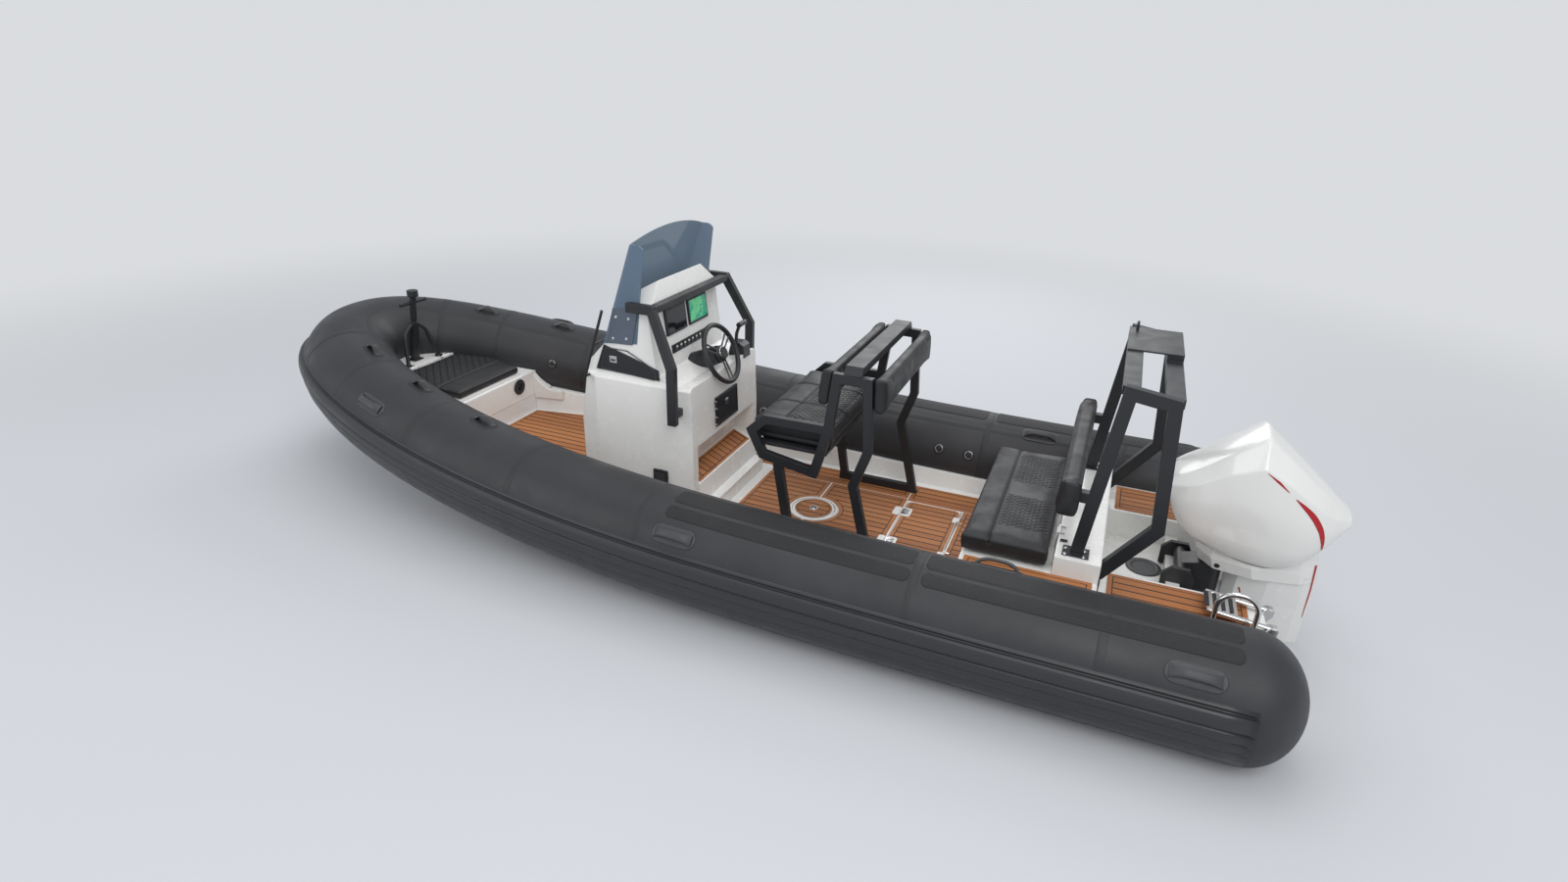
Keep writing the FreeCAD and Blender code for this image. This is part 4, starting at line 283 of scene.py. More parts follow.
def makeTeak(name, joint):
    # Planks along the boat: each has its own tone, a long grain, and black caulk in the joints
    look = teakLook
    shader = Shader(name, look["light"], 0.62)
    y = shader.axes()[1]
    plank = shader.math("FLOOR", shader.math("DIVIDE", y, look["pitch"]))
    tone = shader.add("TexWhiteNoise", {"W": plank}, noise_dimensions="1D").outputs[0]
    grain = shader.noise(46.0, 6.0, 0.65, stretch=(0.9, 14.0, 14.0))
    blend = shader.math("ADD", shader.times(grain, 0.75), shader.times(tone, 0.35))
    wood = shader.mix(shader.ramp(blend, 0.25, 0.85), look["light"], look["dark"])
    inJoint = shader.math("LESS_THAN", shader.cycle(y, look["pitch"]), joint / look["pitch"])
    shader.set("Base Color", shader.mix(inJoint, wood, look["caulk"]))
    shader.set("Roughness", shader.ramp(grain, 0.3, 0.7, 0.55, 0.72))
    shader.bump(shader.times(inJoint, -1.0), 0.0012, 0.8)
    shader.bump(shader.noise(260.0, 3.0, stretch=(0.6, 9.0, 9.0)), 0.0004, 0.6)
    return shader.material


def makePatchRubber():
    # Wear pads: fine ribs along the tube, worn a little shiny on their tops
    colour = colours["rubber"]
    shader = Shader("patchRubber", colour, 0.62)
    rib = shader.wave(shader.add("Attribute", attribute_name="across").outputs["Fac"], 0.0075)
    shader.bump(rib, 0.0016, 0.9)
    shader.bump(shader.noise(420.0, 2.0), 0.0003, 0.5)
    worn = shader.ramp(shader.noise(5.0, 5.0), 0.35, 0.75)
    shader.set("Base Color", shader.mix(worn, colour, scaled(colour, 1.2)))
    shader.set("Roughness", shader.ramp(rib, 0.2, 0.9, 0.72, 0.52))
    return shader.material


def makeWebbing():
    # Woven strap: a fine twill across its length
    shader = Shader("webbing", (0.030, 0.031, 0.034), 0.75, Sheen_Weight=0.2)
    x, y, z = shader.axes()
    twill = shader.math("SINE", shader.times(shader.math("ADD", x, shader.times(y, 1.7)), 2600.0))
    shader.bump(twill, 0.0003, 0.7)
    shader.set("Base Color", shader.mix(shader.ramp(twill, -1, 1), (0.024, 0.025, 0.028), (0.042, 0.043, 0.047)))
    return shader.material


def makeChart():
    # A chart plotter's picture: water, land and depth lines, none of them a real place
    shader = Shader("glassChart", (0.02, 0.3, 0.16), 0.1, Emission_Strength=0.35)
    depth = shader.noise(9.0, 3.0, 0.5)
    land = shader.mix(shader.ramp(depth, 0.50, 0.53), (0.015, 0.30, 0.17), (0.09, 0.50, 0.20))
    lines = shader.math("LESS_THAN", shader.wave(depth, 0.05), 0.12)
    picture = shader.mix(lines, land, (0.01, 0.14, 0.12))
    shader.set("Base Color", picture)
    shader.set("Emission Color", picture)
    return shader.material


def makeScreen():
    shader = Shader("tintedScreen", (0.19, 0.27, 0.36), 0.06, Transmission_Weight=0.35, IOR=1.3, Alpha=0.84)
    shader.set("Roughness", shader.patchy(30.0, 4.0, 0.03, 0.08))
    return shader.material


colours = {"tube": (0.0275, 0.0281, 0.0308), "tubePale": (0.0363, 0.0369, 0.0401), "rubber": (0.0125, 0.0128, 0.0140),
           "vinyl": (0.0150, 0.0155, 0.0170)}
tubeCloth = makeFabric("tubeCloth", colours["tube"], colours["tubePale"], 0.46)
seamTape = makeFabric("seamTape", scaled(colours["tube"], 0.93), colours["tube"], 0.5, 0.0022)
strakeRubber = makeMoulded("strakeRubber", (0.026, 0.027, 0.030), 0.40, 0.0002, 500.0)
patchRubber = makePatchRubber()
gripRubber = makeMoulded("gripRubber", (0.050, 0.051, 0.055), 0.46, 0.0005, 480.0)
webbing = makeWebbing()
blackPlastic = makeMoulded("blackPlastic", (0.017, 0.018, 0.021), 0.42, 0.0003)
gelcoat = makeMoulded("gelcoat", (0.86, 0.855, 0.825), 0.24, edge=0.010, spread=0.03, Coat_Weight=0.25,
                      Coat_Roughness=0.08)
hatchGelcoat = makeMoulded("hatchGelcoat", (0.84, 0.83, 0.80), 0.34, 0.0008, 260.0, 0.03, 0.003)
hullGelcoat = makeMoulded("hullGelcoat", (0.80, 0.81, 0.81), 0.20, spread=0.03, Coat_Weight=0.4, Coat_Roughness=0.05)
powderCoat = makeMoulded("powderCoat", (0.0168, 0.0182, 0.0210), 0.44, 0.0004, 700.0, edge=0.005)
enginePaint = makeMoulded("enginePaint", (0.80, 0.80, 0.775), 0.22, edge=0.006, spread=0.02, Coat_Weight=0.6,
                          Coat_Roughness=0.04)
engineBlack = makeMoulded("engineBlack", (0.02, 0.02, 0.022), 0.38, 0.0003, edge=0.003)
polishedSteel = makeMetal("polishedSteel", (0.70, 0.70, 0.70), 0.14)
castSteel = makeMetal("castSteel", (0.50, 0.51, 0.52), 0.24)
teakDeck = makeTeak("teakDeck", teakLook["joint"])
teakBorder = makeTeak("teakBorder", 0.0)
caulk = makeMoulded("caulk", teakLook["caulk"], 0.6, 0.0003)
greyPlastic = makeMoulded("greyPlastic", (0.06, 0.062, 0.066), 0.38, 0.0002)
brushedPlate = makeMoulded("brushedPlate", (0.13, 0.16, 0.20), 0.35, 0.0001, Metallic=0.6)
stripeRed = makeMoulded("stripeRed", (0.42, 0.008, 0.014), 0.28)
glassDark = makeMoulded("glassDark", (0.008, 0.010, 0.014), 0.08)
glassChart = makeChart()

# The solids that show as they are; the others are replaced by the pieces below
looks = ((hullGelcoat, ("hull",)), (hatchGelcoat, ("deck_hatch", "bench_lid", "bow_lid")),
         (gelcoat, ("deck_moulding", "stern_moulding", "bench_moulding", "bow_locker", "foredeck", "console",
                    "inspection_plate")),
         (blackPlastic, ("console_door", "console_fittings", "throttle", "helm_boss")),
         (powderCoat, ("seat_pan", "seat_frame", "arch_sides", "arch_crossbars", "console_rails", "bow_post")),
         (makeScreen(), ("windscreen",)), (castSteel, ("propeller",)),
         (polishedSteel, ("platform_fittings", "boarding_ladder", "towing_eyes", "lid_hinges")),
         (engineBlack, ("clamp_bracket", "swivel_bracket")), (enginePaint, ("engine_leg", "engine_gearcase")))
for look, nodeNames in looks:
    for nodeName in nodeNames:
        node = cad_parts[nodeName]
        node.data.materials.clear()
        node.data.materials.append(look)
print("materials made")


# ---- photo rays

photoWidth, photoHeight = 1600, 900
cameraPlace = {"place": (0.549, 4.149, 2.56), "yaw": -1.190, "pitch": -0.423, "roll": 0.030, "lens": 19.04,
               "sensor": 36.0}


def cameraAxes():
    # The view found from the photograph: it looks along yaw and pitch, then rolls about the line of sight
    yaw, pitch, roll = cameraPlace["yaw"], cameraPlace["pitch"], cameraPlace["roll"]
    forward = Vector((math.cos(pitch) * math.cos(yaw), math.cos(pitch) * math.sin(yaw), math.sin(pitch)))
    right = forward.cross(Vector((0, 0, 1))).normalized()
    above = right.cross(forward)
    turned = right * math.cos(roll) + above * math.sin(roll)
    upright = above * math.cos(roll) - right * math.sin(roll)
    return turned, upright, forward


def seenPoint(piece, x, y):
    # The place on a piece that lies behind a pixel of the photograph, and its normal
    turned, upright, forward = cameraAxes()
    reach = cameraPlace["sensor"] / cameraPlace["lens"] / photoWidth
    ray = forward + turned * (x - photoWidth / 2) * reach - upright * (y - photoHeight / 2) * reach
    found, place, normal, face = piece.ray_cast(Vector(cameraPlace["place"]), ray.normalized())
    return (np.array(place), np.array(normal)) if found else None


# ---- tube: one smooth skin on the source's centreline, and what is bonded on it

tubeShape = {"radius": 0.280, "spread": 0.945, "height": 0.270, "aft": -0.450, "dome": 0.230, "curve": 2.009,
             "reach": 5.383, "power": 2.232, "sheerStart": -0.180, "sheerEnd": 5.383, "sheerRise": 0.441,
             "sheerPower": 2.94, "sides": 72, "straightRings": 22, "bowRings": 85}


def bowTurn(x):
    # The angle a of the bow's curve at x, or None on the straight run aft of it
    t = tubeShape
    if x <= t["curve"]:
        return None
    return math.asin(min(1.0, ((x - t["curve"]) / (t["reach"] - t["curve"])) ** (t["power"] / 2)))


def tubeCentre(x, turn):
    # Straight aft; forward of the curve's start x = curve + run sin(a)^(2/p), y = spread cos(a)^(2/p)
    t = tubeShape
    y = t["spread"]
    if turn is not None:
        x = t["curve"] + (t["reach"] - t["curve"]) * math.sin(turn) ** (2 / t["power"])
        y *= max(0.0, math.cos(turn)) ** (2 / t["power"])
    share = min(1.0, max(0.0, (x - t["sheerStart"]) / (t["sheerEnd"] - t["sheerStart"])))
    return np.array((x, y, t["height"] + t["sheerRise"] * share ** t["sheerPower"]))


def tubeFrame(x, turn=None):
    # Centre, and the unit directions ahead, outward and up at a place along the port tube
    if turn is None:
        turn = bowTurn(x)
    if turn is None:
        before, after = tubeCentre(x - 0.01, None), tubeCentre(min(x + 0.01, tubeShape["curve"]), None)
    else:
        before, after = (tubeCentre(0, min(math.pi / 2, max(0.0, turn + step))) for step in (-0.012, 0.012))
    ahead = (after - before) / np.linalg.norm(after - before)
    if turn is not None and turn > math.pi / 2 - 1e-6:
        ahead = np.array((0.0, -1.0, 0.0))
    outward = np.cross((0, 0, 1), ahead)
    outward /= np.linalg.norm(outward)
    return tubeCentre(x, turn), ahead, outward, np.cross(ahead, outward)


def tubePoint(frameHere, degrees, offset=0.0):
    centre, ahead, outward, rise = frameHere
    angle = math.radians(degrees)
    return centre + (outward * math.cos(angle) + rise * math.sin(angle)) * (tubeShape["radius"] + offset)


def tubeRing(frameHere, offset=0.0):
    angles = np.linspace(0, 360, tubeShape["sides"], endpoint=False)
    return np.array([tubePoint(frameHere, angle, offset) for angle in angles])


def tubeStations(start):
    # Frames from a place aft to the stem, closer together where the bow's curve starts
    frames = [tubeFrame(x) for x in np.linspace(start, tubeShape["curve"], tubeShape["straightRings"])]
    turns = np.linspace(0, math.pi / 2, tubeShape["bowRings"])[1:]
    return frames + [tubeFrame(0, turn) for turn in [share * turns[0] for share in (0.25, 0.5, 0.75)] + list(turns)]


def mirroredRings(rings):
    # The port half's rings, then the same to starboard from the stem aft
    rings = np.array(rings)
    return np.concatenate([rings, (rings * (1, -1, 1))[-2::-1]])


def addTube():
    t = tubeShape
    rings = []
    root = tubeFrame(t["aft"] + t["dome"])
    for tip in np.radians(np.linspace(88.5, 4, 16)):
        # The dome: x runs back by dome sin(b) while the ring shrinks to cos(b)
        rings.append(tubeRing(root, t["radius"] * (math.cos(tip) - 1)) - (math.sin(tip) * t["dome"], 0, 0))
    rings += [tubeRing(here) for here in tubeStations(t["aft"] + t["dome"])]
    tube = addShell("tube_skin", mirroredRings(rings), tubeCloth)
    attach(tube, "boat")
    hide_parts("tube_port", "tube_starboard", "tube_bow")


seamShape = {"bands": (0.35, 1.150, 2.52, 3.30, 4.06, 4.72, 5.13), "runs": (201.0, 122.0), "aft": -0.17,
             "across": ((-0.021, -0.0004), (-0.019, 0.0007), (-0.006, 0.0010), (0.006, 0.0010), (0.019, 0.0007),
                        (0.021, -0.0004)),
             "round": ((-4.2, -0.0004), (-3.8, 0.0007), (0, 0.0010), (3.8, 0.0007), (4.2, -0.0004))}


def addSeams():
    # Tape over each joint between the tube's panels, and one run along the inner side and one along the top
    shape = seamShape
    bands = []
    for x in shape["bands"]:
        rings = [tubeRing(tubeFrame(x + shift), lift) for shift, lift in shape["across"]]
        band = addGrid("band", rings, seamTape, closeColumns=True)
        bands += [band, mirrorPiece(band)]
    frames = tubeStations(shape["aft"])
    for middle in shape["runs"]:
        run = [[tubePoint(here, middle + turn, lift) for turn, lift in shape["round"]] for here in frames]
        bands.append(addGrid("run", mirroredRings(run), seamTape))
    seams = joinMeshes("tube_seams", bands)
    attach(seams, "boat")


# The outline gives degrees round the tube and shares of how far the strake stands proud
strakeShape = {"aft": -0.235, "proud": 0.030, "close": 0.14,
               "outline": ((25.5, -0.02), (24, 0.16), (22.5, 0.24), (20.6, 0.10), (20.0, 0.16), (19.2, 0.72),
                           (17.6, 0.90), (14.5, 1.0), (10.5, 1.0), (8.0, 0.90), (6.2, 0.60), (5.2, 0.38), (4.4, 0.34),
                           (3.4, 0.50), (1.0, 0.60), (-2.5, 0.56), (-4.8, 0.36), (-6.2, 0.28), (-8.0, 0.40),
                           (-12.5, 0.46), (-14.6, 0.30), (-16.5, 0.20), (-18.5, 0.28), (-26, 0.32), (-31, 0.26),
                           (-37, 0.12), (-38.5, -0.02))}


def addStrake():
    # The rubbing strake's ribs run round the tube; it is thinner at its aft end
    shape = strakeShape
    # Points close to each corner keep the ribs crisp under smooth shading
    corners = np.arange(len(shape["outline"]), dtype=float)
    spots = np.sort(np.concatenate([corners, corners[1:] - shape["close"], corners[:-1] + shape["close"]]))
    degrees, rises = (np.interp(spots, corners, column) for column in np.array(shape["outline"]).T)
    rings = []
    for number, here in enumerate(tubeStations(shape["aft"])):
        fade = min(1.0, 0.72 + 0.28 * number)
        rings.append([tubePoint(here, angle, rise * shape["proud"] * fade) for angle, rise in zip(degrees, rises)])
    # Its ends are capped, but its back lies open in the tube
    strake = addGrid("strake_ribs", mirroredRings(rings), strakeRubber, caps=-1)
    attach(strake, "boat")
    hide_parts("rub_strake")


patchShape = {"runs": ((-0.165, 1.120), (1.175, 2.405)), "angles": ((58.0, 74.0), (78.0, 106.0)), "thick": 0.0022,
              "round": 0.030, "sunk": -0.0006, "columns": 15}


def addPatches():
    # Ribbed wear pads along the tube's top, with round corners and a chamfered edge
    shape = patchShape
    radius, corner = tubeShape["radius"], shape["round"]
    chamfer = shape["thick"] / radius * 57.3
    share = np.linspace(0, 1, shape["columns"])
    bend = 1 - np.cos(np.linspace(0, math.pi / 2, 7))
    pieces = []
    for start, end in shape["runs"]:
        rows = np.concatenate([start + corner * bend, np.linspace(start + corner, end - corner, 34)[1:-1],
                               end - corner * bend[::-1]])
        for low, high in shape["angles"]:
            rings, across = [], []
            for x in rows:
                near = min(x - start, end - x)
                pull = 0.0
                if near < corner:
                    pull = corner - math.sqrt(max(0.0, corner ** 2 - (corner - near) ** 2))
                turn = math.degrees(pull / radius)
                angles = (low + turn) * (1 - share) + (high - turn) * share
                angles[[1, -2]] = angles[0] + chamfer, angles[-1] - chamfer
                lifts = np.full(shape["columns"], shape["thick"])
                lifts[[0, -1]] = shape["sunk"]
                if near < 1e-6:
                    lifts[:] = shape["sunk"]
                rings.append([tubePoint(tubeFrame(x), angle, lift) for angle, lift in zip(angles, lifts)])
                across.append(np.radians(angles) * radius)
            pad = addGrid("pad", rings, patchRubber)
            layer = pad.data.attributes.new("across", "FLOAT", "POINT")
            layer.data.foreach_set("value", np.array(across).reshape(-1))
            pieces += [pad, mirrorPiece(pad)]
    pads = joinMeshes("wear_pads", pieces)
    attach(pads, "boat")
    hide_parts("wear_patches")


def onTube(points, x, degrees):
    # Local x runs along the tube, local y round it, local z out of it; y bends with the skin
    points = np.array(points)
    here = tubeFrame(x)
    ahead = here[1]
    placed = []
    for along, across, out in points.reshape(-1, 3):
        turned = degrees + math.degrees(across / tubeShape["radius"])
        if abs(ahead[0]) > 0.3:
            placed.append(tubePoint(tubeFrame(x + along * ahead[0]), turned, out))
        else:
            placed.append(tubePoint(here, turned, out) + ahead * along)
    return np.array(placed).reshape(points.shape)


def bondOn(name, shapes, places, node):
    # The same shapes at each place on the tube, port and starboard, as one piece
    pieces = []
    for x, degrees in places:
        for rings, look, caps in shapes:
            pieces.append(addGrid(name, onTube(rings, x, degrees), look, closeColumns=True, caps=caps))
    bonded = joinMeshes(name, pieces + [mirrorPiece(piece) for piece in pieces])
    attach(bonded, "boat")
    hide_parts(node)


def roundPad(length, width, corner, thick):
    # A pad with round corners and a soft edge: rings of a rounded rectangle that rise towards the middle
    outline = []
    for cornerX, cornerY, start in ((1, 1, 0), (-1, 1, 90), (-1, -1, 180), (1, -1, 270)):
        for angle in np.radians(start + np.linspace(0, 90, 9)):
            outline.append((cornerX * (length / 2 - corner) + corner * math.cos(angle),
                            cornerY * (width / 2 - corner) + corner * math.sin(angle)))
    outline = np.array(outline)
    return [np.column_stack([outline * scale, np.full(len(outline), rise)]) for scale, rise in (
        (1.0, -0.001), (0.995, thick * 0.5), (0.97, thick * 0.9), (0.93, thick), (0.6, thick), (0.25, thick),
        (0.02, thick))]


# Places are along the boat and degrees round the tube
gripShape = {"places": ((4.410, 44.0), (2.310, 41.0), (0.0, 41.0), (0.830, 118.0)), "pad": (0.232, 0.092, 0.044, 0.006),
             "reach": 0.098, "rise": 0.031}
strapShape = {"places": ((4.860, 103.0), (4.310, 101.0), (3.730, 96.0)), "pad": (0.190, 0.080, 0.038, 0.0035),
              "reach": 0.078, "rise": 0.034, "thick": 0.0018, "over": 0.0042}
valveShape = {"places": ((4.290, 166.0), (2.650, 162.0), (1.420, 160.0), (1.230, 161.0)), "flutes": 12,
              "flange": ((0.034, -0.001), (0.034, 0.003), (0.032, 0.005), (0.026, 0.0055), (0.024, 0.004),
                         (0.021, 0.004)),
              "cap": ((0.0205, 0.003), (0.0205, 0.011), (0.019, 0.013), (0.012, 0.0145), (0.006, 0.0135),
                      (0.0005, 0.0135)),
              "ring": ((0.0245, 0.003), (0.0245, 0.0065), (0.0235, 0.0072), (0.0215, 0.0072), (0.0205, 0.0065),
                       (0.0205, 0.003))}


def gripBar():
    # A bar that widens into the pad at both ends over a finger gap; its section is a superellipse, flat on top
    shape = gripShape
    rings = []
    for share in np.linspace(-1, 1, 41):
        rise = shape["rise"] * (1 - abs(share) ** 3.2)
        wide = 0.017 + 0.012 * abs(share) ** 4
        thick = 0.0085 + 0.002 * abs(share) ** 2
        section = [(math.cos(angle), math.sin(angle)) for angle in circle(20)]
        rings.append([(share * shape["reach"], wide * math.copysign(abs(c) ** 0.7, c),
                       rise + 0.003 + thick * math.copysign(abs(s) ** 0.7, s)) for c, s in section])
    return rings


def strapLoop():
    # Webbing that lies flat at its ends and rises smoothly between them
    shape = strapShape
    thick = shape["thick"]
    rings = []
    for share in np.linspace(-1, 1, 33):
        lift = shape["rise"] * (0.5 + 0.5 * math.cos(math.pi * max(-1, min(1, share / 0.86)))) ** 0.75
        half = 0.019 - 0.002 * (1 - abs(share))
        rings.append([(share * shape["reach"], half * side, lift + shape["over"] + up) for side, up in (
            (-1, 0), (-0.9, thick), (0.9, thick), (1, 0), (0.9, -thick), (-0.9, -thick))])
    return rings


def valveRings(profile, flutes=0):
    rings = []
    for reach, out in profile:
        row = []
        for angle in circle(48):
            flute = 1 - (0.05 * (0.5 + 0.5 * math.cos(angle * flutes)) if flutes and reach > 0.018 else 0)
            row.append((reach * flute * math.cos(angle), reach * flute * math.sin(angle), out))
        rings.append(row)
    return rings


addTube()
addSeams()
addStrake()
addPatches()
bondOn("grips", ((roundPad(*gripShape["pad"]), gripRubber, 1), (gripBar(), gripRubber, 1)),
       gripShape["places"], "grab_handles")
bondOn("webbing_handles", ((roundPad(*strapShape["pad"]), patchRubber, 1), (strapLoop(), webbing, 1)),
       strapShape["places"], "strap_handles")
bondOn("valve_caps", ((valveRings(valveShape["flange"]), blackPlastic, 1),
                      (valveRings(valveShape["cap"], valveShape["flutes"]), blackPlastic, 1),
                      (valveRings(valveShape["ring"]), polishedSteel, 0)),
       valveShape["places"], "valves")
print("tube dressed")


# ---- cushions: swollen by a cloth simulation, then sewn

clothSteps = 20


def readVertices(mesh, what="co"):
    values = np.empty(len(mesh.vertices) * 3)
    mesh.vertices.foreach_get(what, values)
    return values.reshape(-1, 3)


def placeVertices(mesh, places):
    mesh.vertices.foreach_set("co", places.reshape(-1))
    mesh.update()


def swell(piece, look, start):
    # The cover swells under light pressure, and no vertex moves further than the look's cap
    cloth = piece.modifiers.new("cloth", "CLOTH")
    settings = cloth.settings
    settings.quality = 4
    settings.mass = 0.25
    settings.tension_stiffness = settings.compression_stiffness = 18
    settings.bending_stiffness = 0.6
    settings.use_pressure = True
    settings.uniform_pressure_force = look["pressure"]
    settings.effector_weights.gravity = 0
    cloth.collision_settings.use_collision = False
    cloth.point_cache.frame_start = 1
    cloth.point_cache.frame_end = clothSteps
    scene = bpy.context.scene
    for number in range(clothSteps):
        scene.frame_set(number + 1)
    evaluated = piece.evaluated_get(bpy.context.evaluated_depsgraph_get())
    change = readVertices(evaluated.to_mesh()) - start
    evaluated.to_mesh_clear()
    piece.modifiers.clear()
    scene.frame_set(1)
    change -= change.mean(axis=0)
    reach = np.linalg.norm(change, axis=1)
    return start + change * np.minimum(1.0, look["cap"] / np.maximum(reach, 1e-9))[:, None]


def softPad(nodeName, look):
    # A closed pad grown from the CAD solid: remeshed, moved in, inflated under pressure, capped, subdivided
    piece = linkPiece(nodeName + "_pad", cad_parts[nodeName].data.copy())
    low, high = (np.array(corner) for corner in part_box(nodeName))
    remesh = piece.modifiers.new("remesh", "REMESH")
    remesh.mode = "VOXEL"
    remesh.voxel_size = look["voxel"]
    applyModifiers(piece)
    mesh = piece.data
    places = readVertices(mesh) - readVertices(mesh, "normal") * look["inset"]
    placeVertices(mesh, places)
    places = swell(piece, look, places)
    # It stays clear of its neighbours: no further than the CAD solid, apart from the crown that is allowed
    placeVertices(mesh, np.clip(places, low - look.get("spareLow", (0, 0, 0)), high + look["spare"]))
    smooth = piece.modifiers.new("smooth", "SMOOTH")
    smooth.factor = 0.5
    smooth.iterations = 4
    subdivide = piece.modifiers.new("subdivide", "SUBSURF")
    subdivide.levels = subdivide.render_levels = 1
    applyModifiers(piece)
    sewPad(piece.data, look["seams"])
    piece.data.polygons.foreach_set("use_smooth", [True] * len(piece.data.polygons))
    piece.data.materials.clear()
    piece.data.materials.append(makeCover(look["cover"], look["seams"], look.get("quilts", ()), look.get("pitch")))
    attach(piece, look["body"])
    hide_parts(nodeName)


def sewPad(mesh, seams):
    # Each seam pulls the cover in along a plane of the pad
    places = readVertices(mesh)
    pull = np.zeros(len(places))
    for seam in seams:
        near = np.abs(places[:, seam["axis"]] - seam["at"])
        inside = np.ones(len(places))
        if "within" in seam:
            axis, low, high = seam["within"]
            inside = np.clip((places[:, axis] - low) / 0.012, 0, 1) * np.clip((high - places[:, axis]) / 0.012, 0, 1)
        pull += seam.get("deep", 0.006) * np.exp(-(near / seam.get("wide", 0.011)) ** 2) * inside
    placeVertices(mesh, places - readVertices(mesh, "normal") * pull[:, None])


def makeCover(name, seams, quilts, pitch):
    # Marine vinyl: fine leather grain, crisp stitched seams, and a sewn diamond lattice in set panels, with painted
    # shade in the lattice's valleys and along the seams
    colour = colours["vinyl"]
    shader = Shader(name, colour, 0.50, Specular_IOR_Level=0.45)
    axes = shader.axes()
    shader.bump(shader.noise(640.0, 3.0), 0.0004, 0.45)
    shader.bump(shader.noise(38.0, 4.0), 0.0016, 0.35)
    valleys = []
    if quilts:
        # The lattice shows on faces that look up
        up = shader.axes(shader.add("TexCoord").outputs["Normal"])[2]
        sewn = shader.ramp(up, 0.25, 0.6)
        panel = None
        for lowX, highX, lowY, highY in quilts:
            mask = shader.times(shader.between(axes[0], lowX, highX, 0.012, 0.006),
                                shader.between(axes[1], lowY, highY, 0.012, 0.006))
            panel = shader.math("MAXIMUM", panel, mask) if panel else mask
        lines = []
        for operation in ("ADD", "SUBTRACT"):
            steps = [shader.math("DIVIDE", axis, step) for axis, step in zip(axes, pitch)]
            share = shader.apart(shader.math("FRACT", shader.math(operation, *steps)), 0.5)
            lines.append(shader.ramp(share, 0.02, 0.26))
        valley = shader.math("SUBTRACT", 1.0, shader.times(*lines))
        valleys.append(shader.times(valley, shader.times(panel, sewn)))
        shader.bump(shader.times(valleys[0], -1.0), 0.0045)
    for seam in seams:
        near = shader.apart(axes[seam["axis"]], seam["at"])
        line = shader.ramp(near, 0.0006, 0.0032, 1.0, 0.0)
        # Stitches in dashes, in a row on each side of the seam
        dash = shader.math("LESS_THAN", shader.cycle(axes[0 if seam["axis"] == 1 else 1], 0.0065), 0.62)
        stitch = shader.times(shader.ramp(shader.apart(near, 0.0075), 0.0004, 0.0011, 1.0, 0.0), dash)
        if "within" in seam:
            axis, low, high = seam["within"]
            inside = shader.between(axes[axis], low, high, 0.004)
            line, stitch = shader.times(line, inside), shader.times(stitch, inside)
        shader.bump(shader.times(line, -1.0), 0.0035)
        shader.bump(stitch, 0.0006, 0.8)
        valleys.append(line)
    # The valleys of the lattice and the seam lines are painted darker in the base colour: painted shade in the creases
    paintedShade = valleys[0]
    for valley in valleys[1:]:
        paintedShade = shader.math("MAXIMUM", paintedShade, valley)
    drift = shader.mix(shader.patchy(4.0), colour, scaled(colour, 1.2))
    shader.set("Base Color", shader.mix(shader.times(paintedShade, 0.85), drift, scaled(colour, 0.35)))
    shader.set("Roughness", shader.patchy(9.0, 4.0, 0.43, 0.58))
    return shader.material


# Seams lie across an axis at a place, within a range of another axis; a quilt is a box in x and y
cushions = {
    "bench_cushion": {
        "voxel": 0.0095, "inset": 0.006, "cap": 0.016, "pressure": 5.0, "spare": (0.008, 0.012, 0.010),
        "body": "bench_lid", "cover": "benchCover", "pitch": (0.044, 0.034),
        "seams": ({"axis": 0, "at": 0.905, "within": (2, 0.485, 0.60)}, {"axis": 2, "at": 0.452, "deep": 0.003}),
        "quilts": ((0.655, 0.885, -0.465, -0.085), (0.655, 0.885, 0.085, 0.430))},
    "seat_cushion": {
        "voxel": 0.0095, "inset": 0.007, "cap": 0.018, "pressure": 5.0, "spare": (0.010, 0.0, 0.012),
        "body": "boat", "cover": "seatCover", "pitch": (0.044, 0.034),
        "seams": ({"axis": 0, "at": 2.055, "within": (2, 0.82, 0.95)},
                  {"axis": 1, "at": 0.150, "within": (2, 0.82, 0.95)},
                  {"axis": 1, "at": -0.150, "within": (2, 0.82, 0.95)}, {"axis": 2, "at": 0.782, "deep": 0.003}),
        "quilts": tuple((1.80, 2.035, low, high) for low, high in ((-0.40, -0.17), (-0.13, 0.13), (0.17, 0.40)))},
    "bow_cushion": {
        "voxel": 0.0085, "inset": 0.004, "cap": 0.010, "pressure": 4.0, "spare": (0.004, 0.004, 0.006), "fill": 0.75,
        "body": "bow_lid", "cover": "bowCover", "pitch": (0.062, 0.062), "seams": ({"axis": 0, "at": 4.520},),
        "quilts": ((4.548, 4.86, -0.30, 0.30),)}}
for nodeName, side in (("seat_back_aft", 0.462), ("seat_back_forward", 0.462), ("bench_backrest", 0.555)):
    cushions[nodeName] = {
        "voxel": 0.0085, "inset": 0.005, "cap": 0.014, "pressure": 4.5, "spare": (0.004, 0.006, 0.008),
        "spareLow": (0.003, 0.006, 0.004), "body": "boat", "cover": nodeName + "Cover",
        "seams": tuple({"axis": 1, "at": place, "deep": 0.004, "wide": 0.008} for place in (side, -side))}
for nodeName, look in cushions.items():
    softPad(nodeName, look)
print("cushions made")


# ---- decks, fittings and engine

def addBox(name, low, high, material, soft=0.0015):
    corners = [(x, y, z) for x in (low[0], high[0]) for y in (low[1], high[1]) for z in (low[2], high[2])]
    faces = ((0, 1, 3, 2), (4, 6, 7, 5), (0, 4, 5, 1), (2, 3, 7, 6), (0, 2, 6, 4), (1, 5, 7, 3))
    return bevelPiece(addMesh(name, corners, faces, material), soft)


def addBoxes(rows):
    return [addBox("box", *row) for row in rows]


